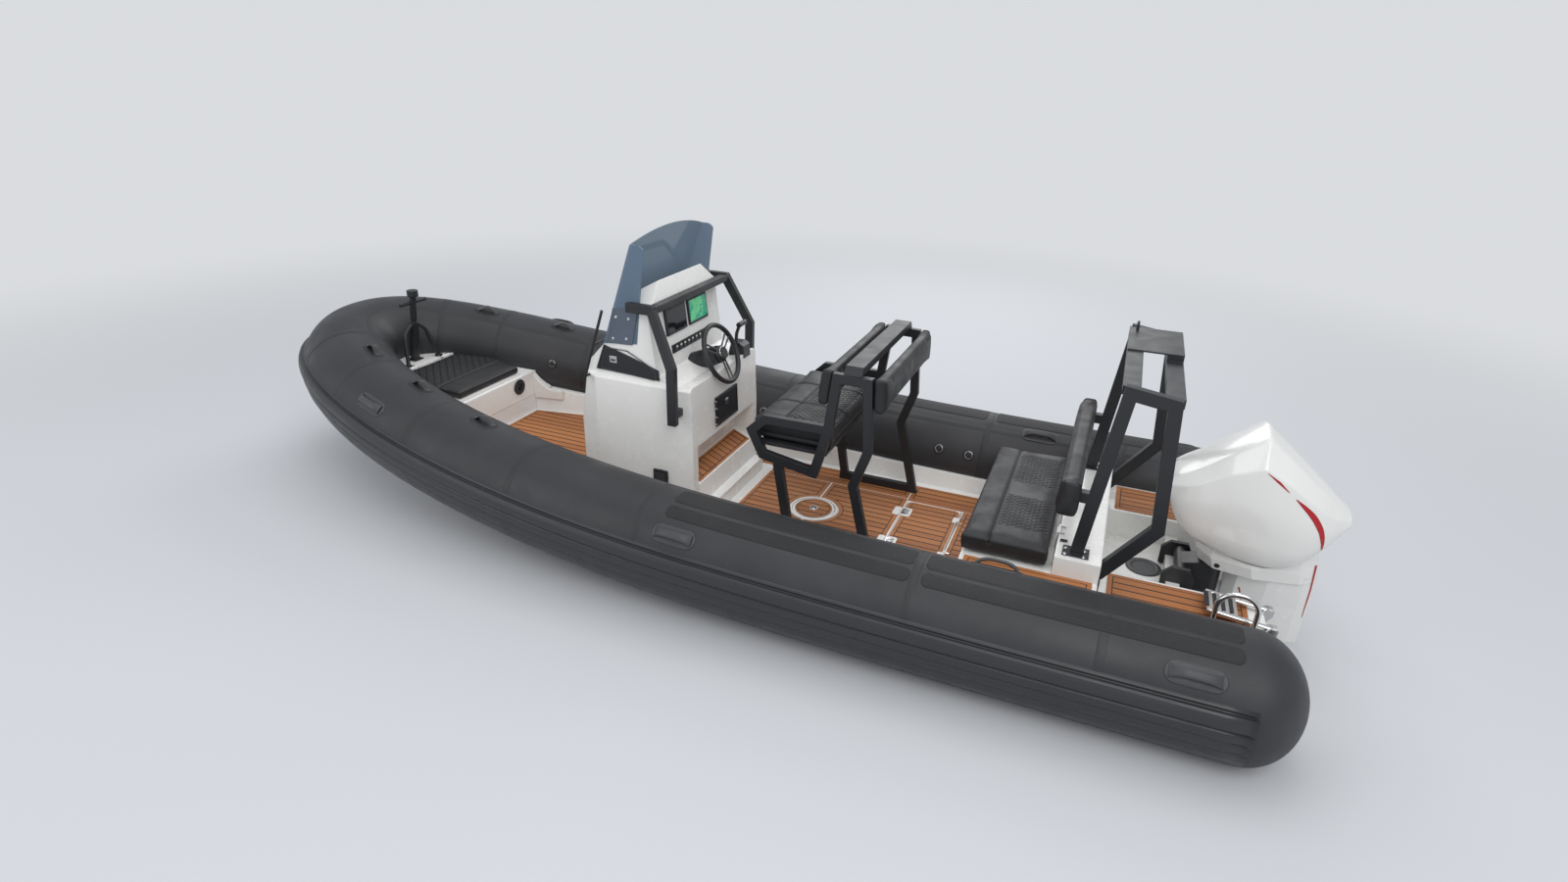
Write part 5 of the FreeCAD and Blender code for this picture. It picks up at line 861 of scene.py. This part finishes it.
def addTurned(name, profile, place, axis, material, sides):
    # A turned part: radius and height pairs, spun round an axis that starts at a place
    axis = Vector(axis).normalized()
    side = axis.orthogonal().normalized()
    other = axis.cross(side)
    rings = []
    for radius, height in profile:
        rings.append([Vector(place) + axis * height + (side * math.cos(turn) + other * math.sin(turn)) * radius
                      for turn in circle(sides)])
    return addShell(name, rings, material)


def addBolts(places, axis, radius=0.008):
    profile = ((radius, 0.0), (radius, radius * 0.45), (radius * 0.8, radius * 0.7), (radius * 0.45, radius * 0.7),
               (radius * 0.4, radius * 0.35))
    return [addTurned("bolt", profile, place, axis, polishedSteel, 24) for place in places]


def boxOutline(x0, x1, y0, y1):
    return [(x0, y0), (x1, y0), (x1, y1), (x0, y1)]


def sidedOutline(x0, x1, y0, y1, sign):
    return boxOutline(x0, x1, *sorted((y0 * sign, y1 * sign)))


def roundOutline(x0, x1, y0, y1, corner):
    points = []
    for x, y, start in ((x1, y1, 0), (x0, y1, 90), (x0, y0, 180), (x1, y0, 270)):
        inX = corner if x == x0 else -corner
        inY = corner if y == y0 else -corner
        for angle in np.radians(start + np.linspace(0, 90, 7)):
            points.append((x + inX + corner * math.cos(angle), y + inY + corner * math.sin(angle)))
    return points


teakSizes = {"border": 0.022, "caulk": 0.005, "thick": 0.005, "thin": 0.0012, "top": 0.145, "channel": 0.007}


def teakPanel(outline, top, thick=teakSizes["thick"], border=teakSizes["border"]):
    # One panel: a border plank, a ring of caulk inside it, and planks along the boat in the middle
    work = bmesh.new()
    face = work.faces.new([work.verts.new((x, y, top)) for x, y in outline])
    work.normal_update()
    if face.normal.z < 0:
        face.normal_flip()
    sides = bmesh.ops.extrude_edge_only(work, edges=work.edges[:])["geom"]
    corners = [part for part in sides if isinstance(part, bmesh.types.BMVert)]
    bmesh.ops.translate(work, vec=(0, 0, -thick), verts=corners)
    for part in sides:
        if isinstance(part, bmesh.types.BMFace):
            part.material_index = 1
    for width, index in ((border, 1), (teakSizes["caulk"], 2)):
        for part in bmesh.ops.inset_region(work, faces=[face], thickness=width, use_even_offset=True)["faces"]:
            part.material_index = index
    mesh = bpy.data.meshes.new("panel")
    work.to_mesh(mesh)
    work.free()
    for material in (teakDeck, teakBorder, caulk):
        mesh.materials.append(material)
    return linkPiece("panel", mesh)


ring = {"x": 2.005, "radius": 0.153, "cross": 2.018, "disc": 0.112}
soleLines = {"aft": 1.060, "hatchAft": 1.166, "hatchFront": 1.520, "front": 2.440, "side": 0.560, "inner": 0.372,
             "hatchSide": 0.352}
hatchLid = {"outline": (1.184, 1.501, -0.331, 0.331), "corner": 0.036, "top": 0.1462}
gangwayBox = (2.447, 3.383, 0.455, 0.558)
platformBoxes = (((-0.259, 0.345, 0.363, 0.654), 0.360), ((0.413, 1.007, 0.592, 0.686), 0.420))
forwardOutline = ((3.450, -0.528), (3.884, -0.470), (4.317, -0.385), (4.317, 0.385), (3.884, 0.470), (3.450, 0.528))
stepShape = {"run": 0.128, "rise": 0.055, "place": (2.6475, 0.3737), "outline": (-0.061, 0.061, -0.34, 0.34),
             "thick": 0.0035, "border": 0.014}


def ringArc(x, outward):
    # The arc of the inspection ring's channel that a panel edge at x cuts off
    high = math.acos((x - ring["x"]) / ring["radius"])
    turns = np.linspace(high, 2 * math.pi - high, 25) if outward < 0 else np.linspace(high, -high, 25)
    return [(ring["x"] + ring["radius"] * math.cos(turn), ring["radius"] * math.sin(turn)) for turn in turns]


def addTeak():
    lines, gap, thin = soleLines, teakSizes["channel"], teakSizes["thin"]
    inner = lines["inner"] - gap
    side = lines["hatchSide"]
    aftCross, frontCross = ring["cross"] - gap, ring["cross"] + gap
    outlines = [[(lines["hatchFront"], -inner), (aftCross, -inner)] + ringArc(aftCross, -1)[::-1] +
                [(aftCross, inner), (lines["hatchFront"], inner)],
                [(frontCross, -inner), (lines["front"], -inner), (lines["front"], inner), (frontCross, inner)] +
                ringArc(frontCross, 1),
                boxOutline(lines["aft"], lines["hatchAft"], -side + gap * 2, side - gap * 2)]
    for sign in (1, -1):
        outlines += [sidedOutline(*box, sign) for box in (
            (lines["aft"], lines["hatchFront"] - gap, side, lines["side"]),
            (lines["hatchFront"] + gap * 0.5, lines["front"], lines["inner"] + gap, lines["side"]), gangwayBox)]
    panels = [teakPanel(outline, teakSizes["top"]) for outline in outlines]
    panels.append(teakPanel(forwardOutline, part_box("sole_covering")[1][2]))
    sole = joinMeshes("sole_teak", panels)
    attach(sole, "boat")
    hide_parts("sole_covering")
    panels = [teakPanel(sidedOutline(*box, sign), height) for box, height in platformBoxes for sign in (1, -1)]
    stern = joinMeshes("platform_teak", panels)
    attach(stern, "boat")
    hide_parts("platform_covering")
    lid = teakPanel(roundOutline(*hatchLid["outline"], hatchLid["corner"]), hatchLid["top"], thin)
    lid.name = "hatch_teak"
    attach(lid, "deck_hatch")
    # The tread of the step keeps its pad, square to its slope
    shape = stepShape
    along = Vector((shape["run"], 0, shape["rise"])).normalized()
    rise = Vector((-shape["rise"], 0, shape["run"])).normalized()
    x, z = shape["place"]
    step = teakPanel(boxOutline(*shape["outline"]), shape["thick"], shape["thick"], shape["border"])
    step.data.transform(Matrix(((along.x, 0, rise.x, x), (0, 1, 0, 0), (along.z, 0, rise.z, z), (0, 0, 0, 1))))
    step.name = "step_teak"
    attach(step, "boat")
    disc = teakPanel([(ring["x"] + ring["disc"] * math.cos(turn), ring["disc"] * math.sin(turn))
                      for turn in circle(48)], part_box("inspection_plate")[1][2] + thin, thin, 0.012)
    disc.name = "plate_teak"
    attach(disc, "boat")


# Places of the small fittings on the decks; a profile is radius and height pairs
latchShape = {"places": ((1.510, -0.190), (1.505, 0.178)), "seam": (1.5095, 1.5165), "aft": 0.058, "front": 0.050,
              "half": 0.052, "corner": 0.018, "under": 0.1440, "lidTop": 0.1476, "deckTop": 0.1462}
treadShape = {"count": 4, "x": (-0.086, -0.066), "y": (0.422, 0.543), "z": (0.4105, 0.4150), "pitch": 0.034,
              "fall": 0.0037}
latchPull = ((0.017, 0.0), (0.017, 0.0015), (0.012, 0.0020), (0.011, 0.0004))
platePull = ((0.026, 0.0), (0.026, 0.0022), (0.022, 0.0032), (0.020, 0.0010))
bowLight = ((0.055, 0.0), (0.055, 0.004), (0.050, 0.007), (0.026, 0.007), (0.022, 0.0035))
wellCover = ((0.090, 0.0), (0.090, 0.004), (0.084, 0.007), (0.060, 0.007), (0.056, 0.005))


def addDeckFittings():
    shape = latchShape
    onLid, onDeck = [], []
    for x, y in shape["places"]:
        for low, high, pieces, top in ((x - shape["aft"], shape["seam"][0], onLid, shape["lidTop"]),
                                       (shape["seam"][1], x + shape["front"], onDeck, shape["deckTop"])):
            outline = roundOutline(low, high, y - shape["half"], y + shape["half"], shape["corner"])
            count = len(outline)
            corners = [(px, py, height) for height in (top, shape["under"]) for px, py in outline]
            sides = [(i, i + count, (i + 1) % count + count, (i + 1) % count) for i in range(count)]
            pieces.append(addMesh("pad", corners, [tuple(range(count))] + sides, hatchGelcoat, False))
        onLid.append(addBox("latch", (x - 0.044, y - 0.032, 0.147), (1.508, y + 0.032, 0.1502), polishedSteel))
        onLid.append(addTurned("pull", latchPull, (x - 0.020, y, 0.1502), (0, 0, 1), castSteel, 28))
    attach(joinMeshes("hatch_latches", onLid), "deck_hatch")
    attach(joinMeshes("hatch_pads", onDeck), "boat")
    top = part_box("inspection_plate")[1][2]
    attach(addTurned("plate_pull", platePull, (ring["x"], 0, top + 0.001), (0, 0, 1), polishedSteel, 32), "boat")
    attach(addTurned("bow_light", bowLight, (4.336, -0.245, 0.448), (-1, 0, 0), blackPlastic, 40), "boat")
    # Rubber on the ladder's steps, the feet's bolts, a latch on the bench and the cover in the engine's well
    shape = treadShape
    treads = []
    for step in range(shape["count"]):
        corners = [(shape["x"][end] - shape["pitch"] * step, shape["y"][end], shape["z"][end] - shape["fall"] * step)
                   for end in (0, 1)]
        treads.append(addBox("tread", *corners, blackPlastic, 0.001))
    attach(joinMeshes("ladder_treads", treads), "ladder")
    feet = addBolts([(x, y * sign, 0.522) for x in (0.473, 0.557) for y in (0.5, 0.556) for sign in (1, -1)], (0, 0, 1))
    feet.append(addBox("benchLatch", (0.553, 0.412, 0.5148), (0.591, 0.446, 0.5200), polishedSteel))
    feet.append(addTurned("wellCover", wellCover, (0.160, -0.050, 0.200), (0, 0, 1), greyPlastic, 48))
    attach(joinMeshes("stern_fittings", feet), "boat")


# The console's two sloped faces: local x runs out of each, y across and z up its slope
dashPlace = Matrix.Translation((2.81603, 0, 0.97799)) @ Matrix.Rotation(math.radians(7.336), 4, "Y")
aftPlace = Matrix.Translation((2.583, 0, 0.600)) @ Matrix.Rotation(math.radians(2.461), 4, "Y")
panelRim = ((3.000, 1.103), (2.830, 1.020), (2.818, 0.958), (3.178, 0.978), (3.140, 1.104), (3.001, 1.1035))
screenPlate = ((3.080, 1.337), (2.918, 1.358), (2.964, 1.142), (3.123, 1.134))
screenBolts = ((2.979, 1.289), (2.999, 1.173), (3.060, 1.290), (3.085, 1.165))
plateSides = (0.4042, 0.4080)
rockers = {"count": 8, "start": -0.186, "pitch": 0.0465}
keys = {"count": 5, "start": 0.035, "pitch": 0.040}
louvres = {"count": 5, "start": 0.352, "pitch": 0.013}


def spotsOf(row):
    return [row["start"] + number * row["pitch"] for number in range(row["count"])]


def addConsoleDetails():
    # Displays with their keys, and the switches with a mark over each
    rows = []
    for sign, look in ((1, glassDark), (-1, glassChart)):
        y0, y1 = sorted((0.014 * sign, 0.246 * sign))
        rows += [((-0.0112, y0 + 0.003, 0.191), (-0.0088, y1 - 0.003, 0.335), blackPlastic, 0.001),
                 ((-0.0120, y0 + 0.014, 0.203), (-0.0110, y1 - 0.014, 0.328), look, 0.0004)]
        rows += [((-0.0122, y0 + spot, 0.1945), (-0.0110, y0 + spot + 0.018, 0.2000), greyPlastic, 0.0004)
                 for spot in spotsOf(keys)]
    for spot in spotsOf(rockers):
        rows += [((-0.0102, spot + 0.012, 0.105), (-0.0090, spot + 0.030, 0.113), hatchGelcoat, 0.0003),
                 ((-0.0095, spot + 0.006, 0.084), (-0.0044, spot + 0.036, 0.119), greyPlastic, 0.002)]
    dash = joinMeshes("dash_details", addBoxes(rows))
    dash.data.transform(dashPlace)
    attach(dash, "boat")
    # Frame, latch and pull of the door
    door = joinMeshes("door_details", addBoxes(
        [((-0.0155, y0, z0), (-0.0121, y1, z1), blackPlastic, 0.001) for y0, y1, z0, z1 in (
            (-0.124, 0.140, 0.036, 0.046), (-0.124, 0.140, 0.189, 0.199), (-0.124, -0.114, 0.036, 0.199),
            (0.130, 0.140, 0.036, 0.199))] +
        [((-0.0185, 0.004, 0.128), (-0.0121, 0.040, 0.164), castSteel, 0.003),
         ((-0.0205, 0.010, 0.140), (-0.0180, 0.034, 0.150), blackPlastic, 0.001)]))
    door.data.transform(aftPlace)
    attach(door, "console_door")
    # Border and latch of the side panel, the screen's bolted plates, and the vent
    rim = smoothLine([(x, 0.4075, z) for x, z in panelRim], (0.02,) * 4)
    pieces = [sweepRound("rim", rim, 0.0026, greyPlastic, 12)]
    pieces += addBoxes((((3.068, 0.4065, 1.022), (3.116, 0.4125, 1.062), castSteel, 0.003),
                        ((3.078, 0.4120, 1.034), (3.106, 0.4145, 1.044), blackPlastic, 0.001)))
    for sign in (1, -1):
        corners = [(x, y * sign, z) for y in plateSides for x, z in screenPlate]
        faces = [(3, 2, 1, 0), (4, 5, 6, 7)] + [(i, (i + 1) % 4, (i + 1) % 4 + 4, i + 4) for i in range(4)]
        pieces.append(bevelPiece(addMesh("plate", corners, faces, brushedPlate), 0.0012))
        pieces += addBolts([(x, plateSides[1] * sign, z) for x, z in screenBolts], (0, sign, 0))
    pieces += addBoxes([((2.748, 0.4305, 0.335), (2.842, 0.4450, 0.429), blackPlastic, 0.006)] +
                       [((2.764, 0.4440, low), (2.826, 0.4475, low + 0.006), greyPlastic, 0.0012)
                        for low in spotsOf(louvres)])
    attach(joinMeshes("console_trim", pieces), "boat")


wheelShape = {"centre": (2.6185, 0.0, 1.0296), "hub": (2.637, 0.0, 1.021), "column": (-0.9063, 0.0, 0.4226),
              "radius": 0.170, "rim": 0.015, "spoke": 0.0055, "spokeRoot": (0.017, 0.040), "spread": (0.013, 0.019),
              "sunk": 0.006,
              "hubProfile": ((0.016, 0.0), (0.044, 0.0), (0.048, 0.004), (0.048, 0.022), (0.040, 0.030),
                             (0.020, 0.033)),
              "hubRing": ((0.034, 0.0295), (0.036, 0.0335), (0.031, 0.0338), (0.029, 0.0310))}


def addWheel():
    # A padded rim, three pairs of spokes that part towards the rim, and a hub with a polished ring
    shape = wheelShape
    centre, hub, column = (np.array(shape[name]) for name in ("centre", "hub", "column"))
    across = np.array((0.0, 1.0, 0.0))
    down = np.cross(column, across)
    rings = []
    for turn in np.linspace(0, 2 * math.pi, 96, endpoint=False):
        outward = down * math.cos(turn) + across * math.sin(turn)
        rings.append(roundRing(centre + outward * shape["radius"], shape["rim"], outward, column, 20))
    pieces = [addGrid("rim", rings, blackPlastic, closeRows=True, closeColumns=True)]
    for turn in circle(3):
        outward = down * math.cos(turn) + across * math.sin(turn)
        sideways = np.cross(column, outward)
        for sign in (1, -1):
            up, out = shape["spokeRoot"]
            low = hub + column * up + outward * out + sideways * sign * shape["spread"][0]
            high = centre + outward * (shape["radius"] - shape["sunk"]) + sideways * sign * shape["spread"][1]
            line = [low + (high - low) * share for share in (0, 0.5, 1)]
            pieces.append(sweepRound("spoke", line, shape["spoke"], greyPlastic, 16))
    pieces.append(addTurned("hub", shape["hubProfile"], hub, column, blackPlastic, 48))
    pieces.append(addTurned("hubRing", shape["hubRing"], hub, column, polishedSteel, 48))
    wheel = joinMeshes("wheel_whole", pieces)
    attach(wheel, "steering_wheel")
    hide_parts("steering_wheel")


# Cowl: the same stations as the solid, smoothed a little along and across so that its creases stay
cowlShape = {"front": 0.148, "aft": -0.624, "half": 0.245, "low": 0.480, "tall": 0.638, "end": 0.004,
             "across": (0.72, 0.93, 1.0, 0.9, 0.5, 0.0), "bends": (0.05, 0.12, 0.16, 0.012, 0.012),
             "window": (25, 25, 25, 5, 5),
             "stations": ((0.0, 0.60, 0.40, 0.44, 0.47, 0.49), (0.04, 0.84, 0.24, 0.36, 0.50, 0.54),
                          (0.15, 0.97, 0.10, 0.40, 0.575, 0.643), (0.30, 1.0, 0.02, 0.42, 0.69, 0.812),
                          (0.469, 1.0, -0.03, 0.42, 0.775, 1.0), (0.62, 1.0, -0.05, 0.38, 0.68, 0.845),
                          (0.77, 0.95, -0.01, 0.34, 0.56, 0.69), (0.89, 0.80, 0.16, 0.33, 0.46, 0.57),
                          (1.0, 0.45, 0.34, 0.38, 0.42, 0.451))}


def addCowl():
    shape = cowlShape
    table = np.array(shape["stations"])
    places = np.linspace(0, 1, 121)
    columns = []
    for values, window in zip(table.T[1:], shape["window"]):
        # The ends run on by point reflection, so that smoothing leaves them where they are
        column = np.interp(places, table[:, 0], values)
        reach = window // 2
        padded = np.concatenate([2 * column[0] - column[reach:0:-1], column, 2 * column[-1] - column[-2:-reach - 2:-1]])
        kernel = np.hanning(window + 2)[1:-1]
        columns.append(np.convolve(padded, kernel / kernel.sum(), "valid"))
    rings = []
    for place, (wide, belly, waist, shoulder, ridge) in zip(places, np.column_stack(columns)):
        x = shape["front"] + (shape["aft"] - shape["front"]) * place
        heights = (belly, belly + (waist - belly) * 0.35, waist, shoulder, shoulder + (ridge - shoulder) * 0.8, ridge)
        corners = [(x, 0.0, shape["low"] + shape["tall"] * belly)]
        corners += [(x, shape["half"] * wide * share, shape["low"] + shape["tall"] * height)
                    for share, height in zip(shape["across"], heights)]
        half = smoothLine(corners, shape["bends"])
        rings.append(np.vstack([half, (half * (1, -1, 1))[-2:0:-1]]))
    # The ends close over in three rings that shrink and stand a little proud
    ends = []
    for outline, push in ((rings[0], shape["end"]), (rings[-1], -shape["end"])):
        middle = outline.mean(axis=0, keepdims=True)
        ends.append([middle + (outline - middle) * scale + (push, 0, 0) for scale in (0.97, 0.5, 0.02)])
    cowl = addShell("cowl_skin", ends[0][::-1] + rings + ends[1], enginePaint)
    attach(cowl, "outboard")
    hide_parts("engine_cowl")
    return cowl


# Lines of pixels of the photograph, and widths in metres that are spread evenly along them
stripes = {"stripe": (((1323, 510), (1331, 517.5), (1337, 523.6), (1342, 530), (1345.7, 536.7), (1348.3, 543),
                       (1349.4, 549.7), (1349.4, 556), (1347, 566)), (0.004, 0.018, 0.026, 0.027, 0.022, 0.009)),
           "thinStripe": (((1294, 483), (1306, 493), (1316, 503)), (0.002, 0.011, 0.003)),
           "legStripe": (((1343, 577), (1337, 602), (1328, 630)), (0.015, 0.011, 0.003)),
           "legMark": (((1264, 599), (1267, 615)), (0.008, 0.005))}
stripeLift = 0.0012
plugPixels = ((1221, 565.6), (1241.6, 577))
plugProfile = ((0.013, -0.004), (0.013, 0.003), (0.010, 0.005), (0.004, 0.005))


def addStripe(name, onto):
    # A painted stripe laid on a surface along its line of pixels, and mirrored to the other side
    line, widths = (np.array(part, dtype=float) for part in stripes[name])
    run = np.concatenate([[0], np.cumsum(np.linalg.norm(np.diff(line, axis=0), axis=1))])
    steps = np.linspace(0, run[-1], 26)
    pixels = np.column_stack([np.interp(steps, run, line[:, axis]) for axis in (0, 1)])
    spots = [spot for spot in (seenPoint(onto, x, y) for x, y in pixels) if spot]
    wide = np.interp(np.linspace(0, 1, len(spots)), np.linspace(0, 1, len(widths)), widths)
    rows = []
    for index, (place, normal) in enumerate(spots):
        ahead = spots[min(index + 1, len(spots) - 1)][0] - spots[max(index - 1, 0)][0]
        side = Vector(normal).cross(ahead).normalized()
        raised = Vector(place) + Vector(normal) * stripeLift
        rows.append([raised + side * wide[index] * share for share in (-0.5, 0.0, 0.5)])
    stripe = addGrid(name, rows, stripeRed)
    return [stripe, mirrorPiece(stripe)]


def addEngineMarks(cowl):
    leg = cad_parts["engine_leg"]
    red = []
    for name, onto in (("stripe", cowl), ("legStripe", leg), ("legMark", leg), ("thinStripe", cowl)):
        red += addStripe(name, onto)
    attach(joinMeshes("cowl_stripes", red), "outboard")
    # A plug sits on the leg where the pixel's ray meets it, or else on the cowl
    plugs = []
    for x, y in plugPixels:
        spot = seenPoint(leg, x, y) or seenPoint(cowl, x, y)
        if spot:
            plug = addTurned("plug", plugProfile, *spot, engineBlack, 28)
            plugs += [plug, mirrorPiece(plug)]
    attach(joinMeshes("engine_plugs", plugs), "outboard")


addTeak()
addDeckFittings()
addConsoleDetails()
addWheel()
addEngineMarks(addCowl())
print("decks, fittings and engine made")


# ---- light, floor and camera

backdrop = (0.70, 0.715, 0.735)
# Each lamp's name, place, target, size and power
lamps = (("key", (-1.5, 5.5, 6.5), (2.3, 0, 0.4), 5.0, 250.0), ("fill", (8.0, 6.0, 4.5), (3.0, 0, 0.5), 4.5, 110.0),
         ("rim", (2.5, -7.0, 5.0), (2.4, 0, 0.4), 5.0, 170.0), ("top", (2.5, 0.0, 8.0), (2.5, 0.0, 0.0), 6.5, 160.0))
floorShape = {"low": -60, "high": 65, "side": 60, "middle": 2.5, "fade": (3.6, 10.5)}


def addWorld():
    # The camera and what shows through the screen see the backdrop; all else is lit by a cooler sky
    world = bpy.data.worlds.new("studio")
    bpy.context.scene.world = world
    world.use_nodes = True
    nodes, links = world.node_tree.nodes, world.node_tree.links
    sky, seen = nodes["Background"], nodes.new("ShaderNodeBackground")
    for background, colour, strength in ((sky, (0.93, 0.95, 1.0), 0.62), (seen, backdrop, 1.0)):
        background.inputs["Color"].default_value = (*colour, 1)
        background.inputs["Strength"].default_value = strength
    path = nodes.new("ShaderNodeLightPath")
    mixer = nodes.new("ShaderNodeMixShader")
    either = nodes.new("ShaderNodeMath")
    either.operation = "MAXIMUM"
    for source, target in ((path.outputs["Is Camera Ray"], either.inputs[0]),
                           (path.outputs["Is Transmission Ray"], either.inputs[1]),
                           (either.outputs[0], mixer.inputs[0]), (sky.outputs[0], mixer.inputs[1]),
                           (seen.outputs[0], mixer.inputs[2]),
                           (mixer.outputs[0], nodes["World Output"].inputs["Surface"])):
        links.new(source, target)


def addLamps():
    for name, place, target, size, power in lamps:
        data = bpy.data.lights.new(name, "AREA")
        data.shape = "SQUARE"
        data.size = size
        data.energy = power
        lamp = linkPiece(name, data)
        lamp.location = place
        lamp.rotation_euler = (Vector(target) - Vector(place)).to_track_quat("-Z", "Y").to_euler()


def addFloor():
    # The floor fades into the backdrop's own tone some metres out, so that no horizon shows
    shape = floorShape
    look = Shader("floorLook", (0.60, 0.615, 0.635), 0.9)
    x, y, z = look.axes()
    squares = (look.math("POWER", look.math("SUBTRACT", x, shape["middle"]), 2.0), look.math("POWER", y, 2.0))
    reach = look.math("SQRT", look.math("ADD", *squares))
    glow = look.add("Emission", {"Color": (*backdrop, 1)})
    fade = look.add("MixShader", {0: look.ramp(reach, *shape["fade"]), 1: look.base.outputs[0], 2: glow.outputs[0]})
    look.links.new(fade.outputs[0], look.nodes["Material Output"].inputs["Surface"])
    corners = [(x, y, 0) for x, y in boxOutline(shape["low"], shape["high"], -shape["side"], shape["side"])]
    addMesh("floor", corners, [(0, 1, 2, 3)], look.material, False)


def addCamera():
    data = bpy.data.cameras.new("camera")
    data.lens = cameraPlace["lens"]
    data.sensor_width = cameraPlace["sensor"]
    data.clip_start = 0.05
    camera = linkPiece("camera", data)
    turned, upright, forward = cameraAxes()
    rows = Matrix((turned, upright, -forward)).transposed().to_4x4()
    camera.matrix_world = Matrix.Translation(cameraPlace["place"]) @ rows
    bpy.context.scene.camera = camera


addWorld()
addLamps()
addFloor()
addCamera()
bpy.context.scene.view_settings.view_transform = "Standard"
print("studio and camera set")
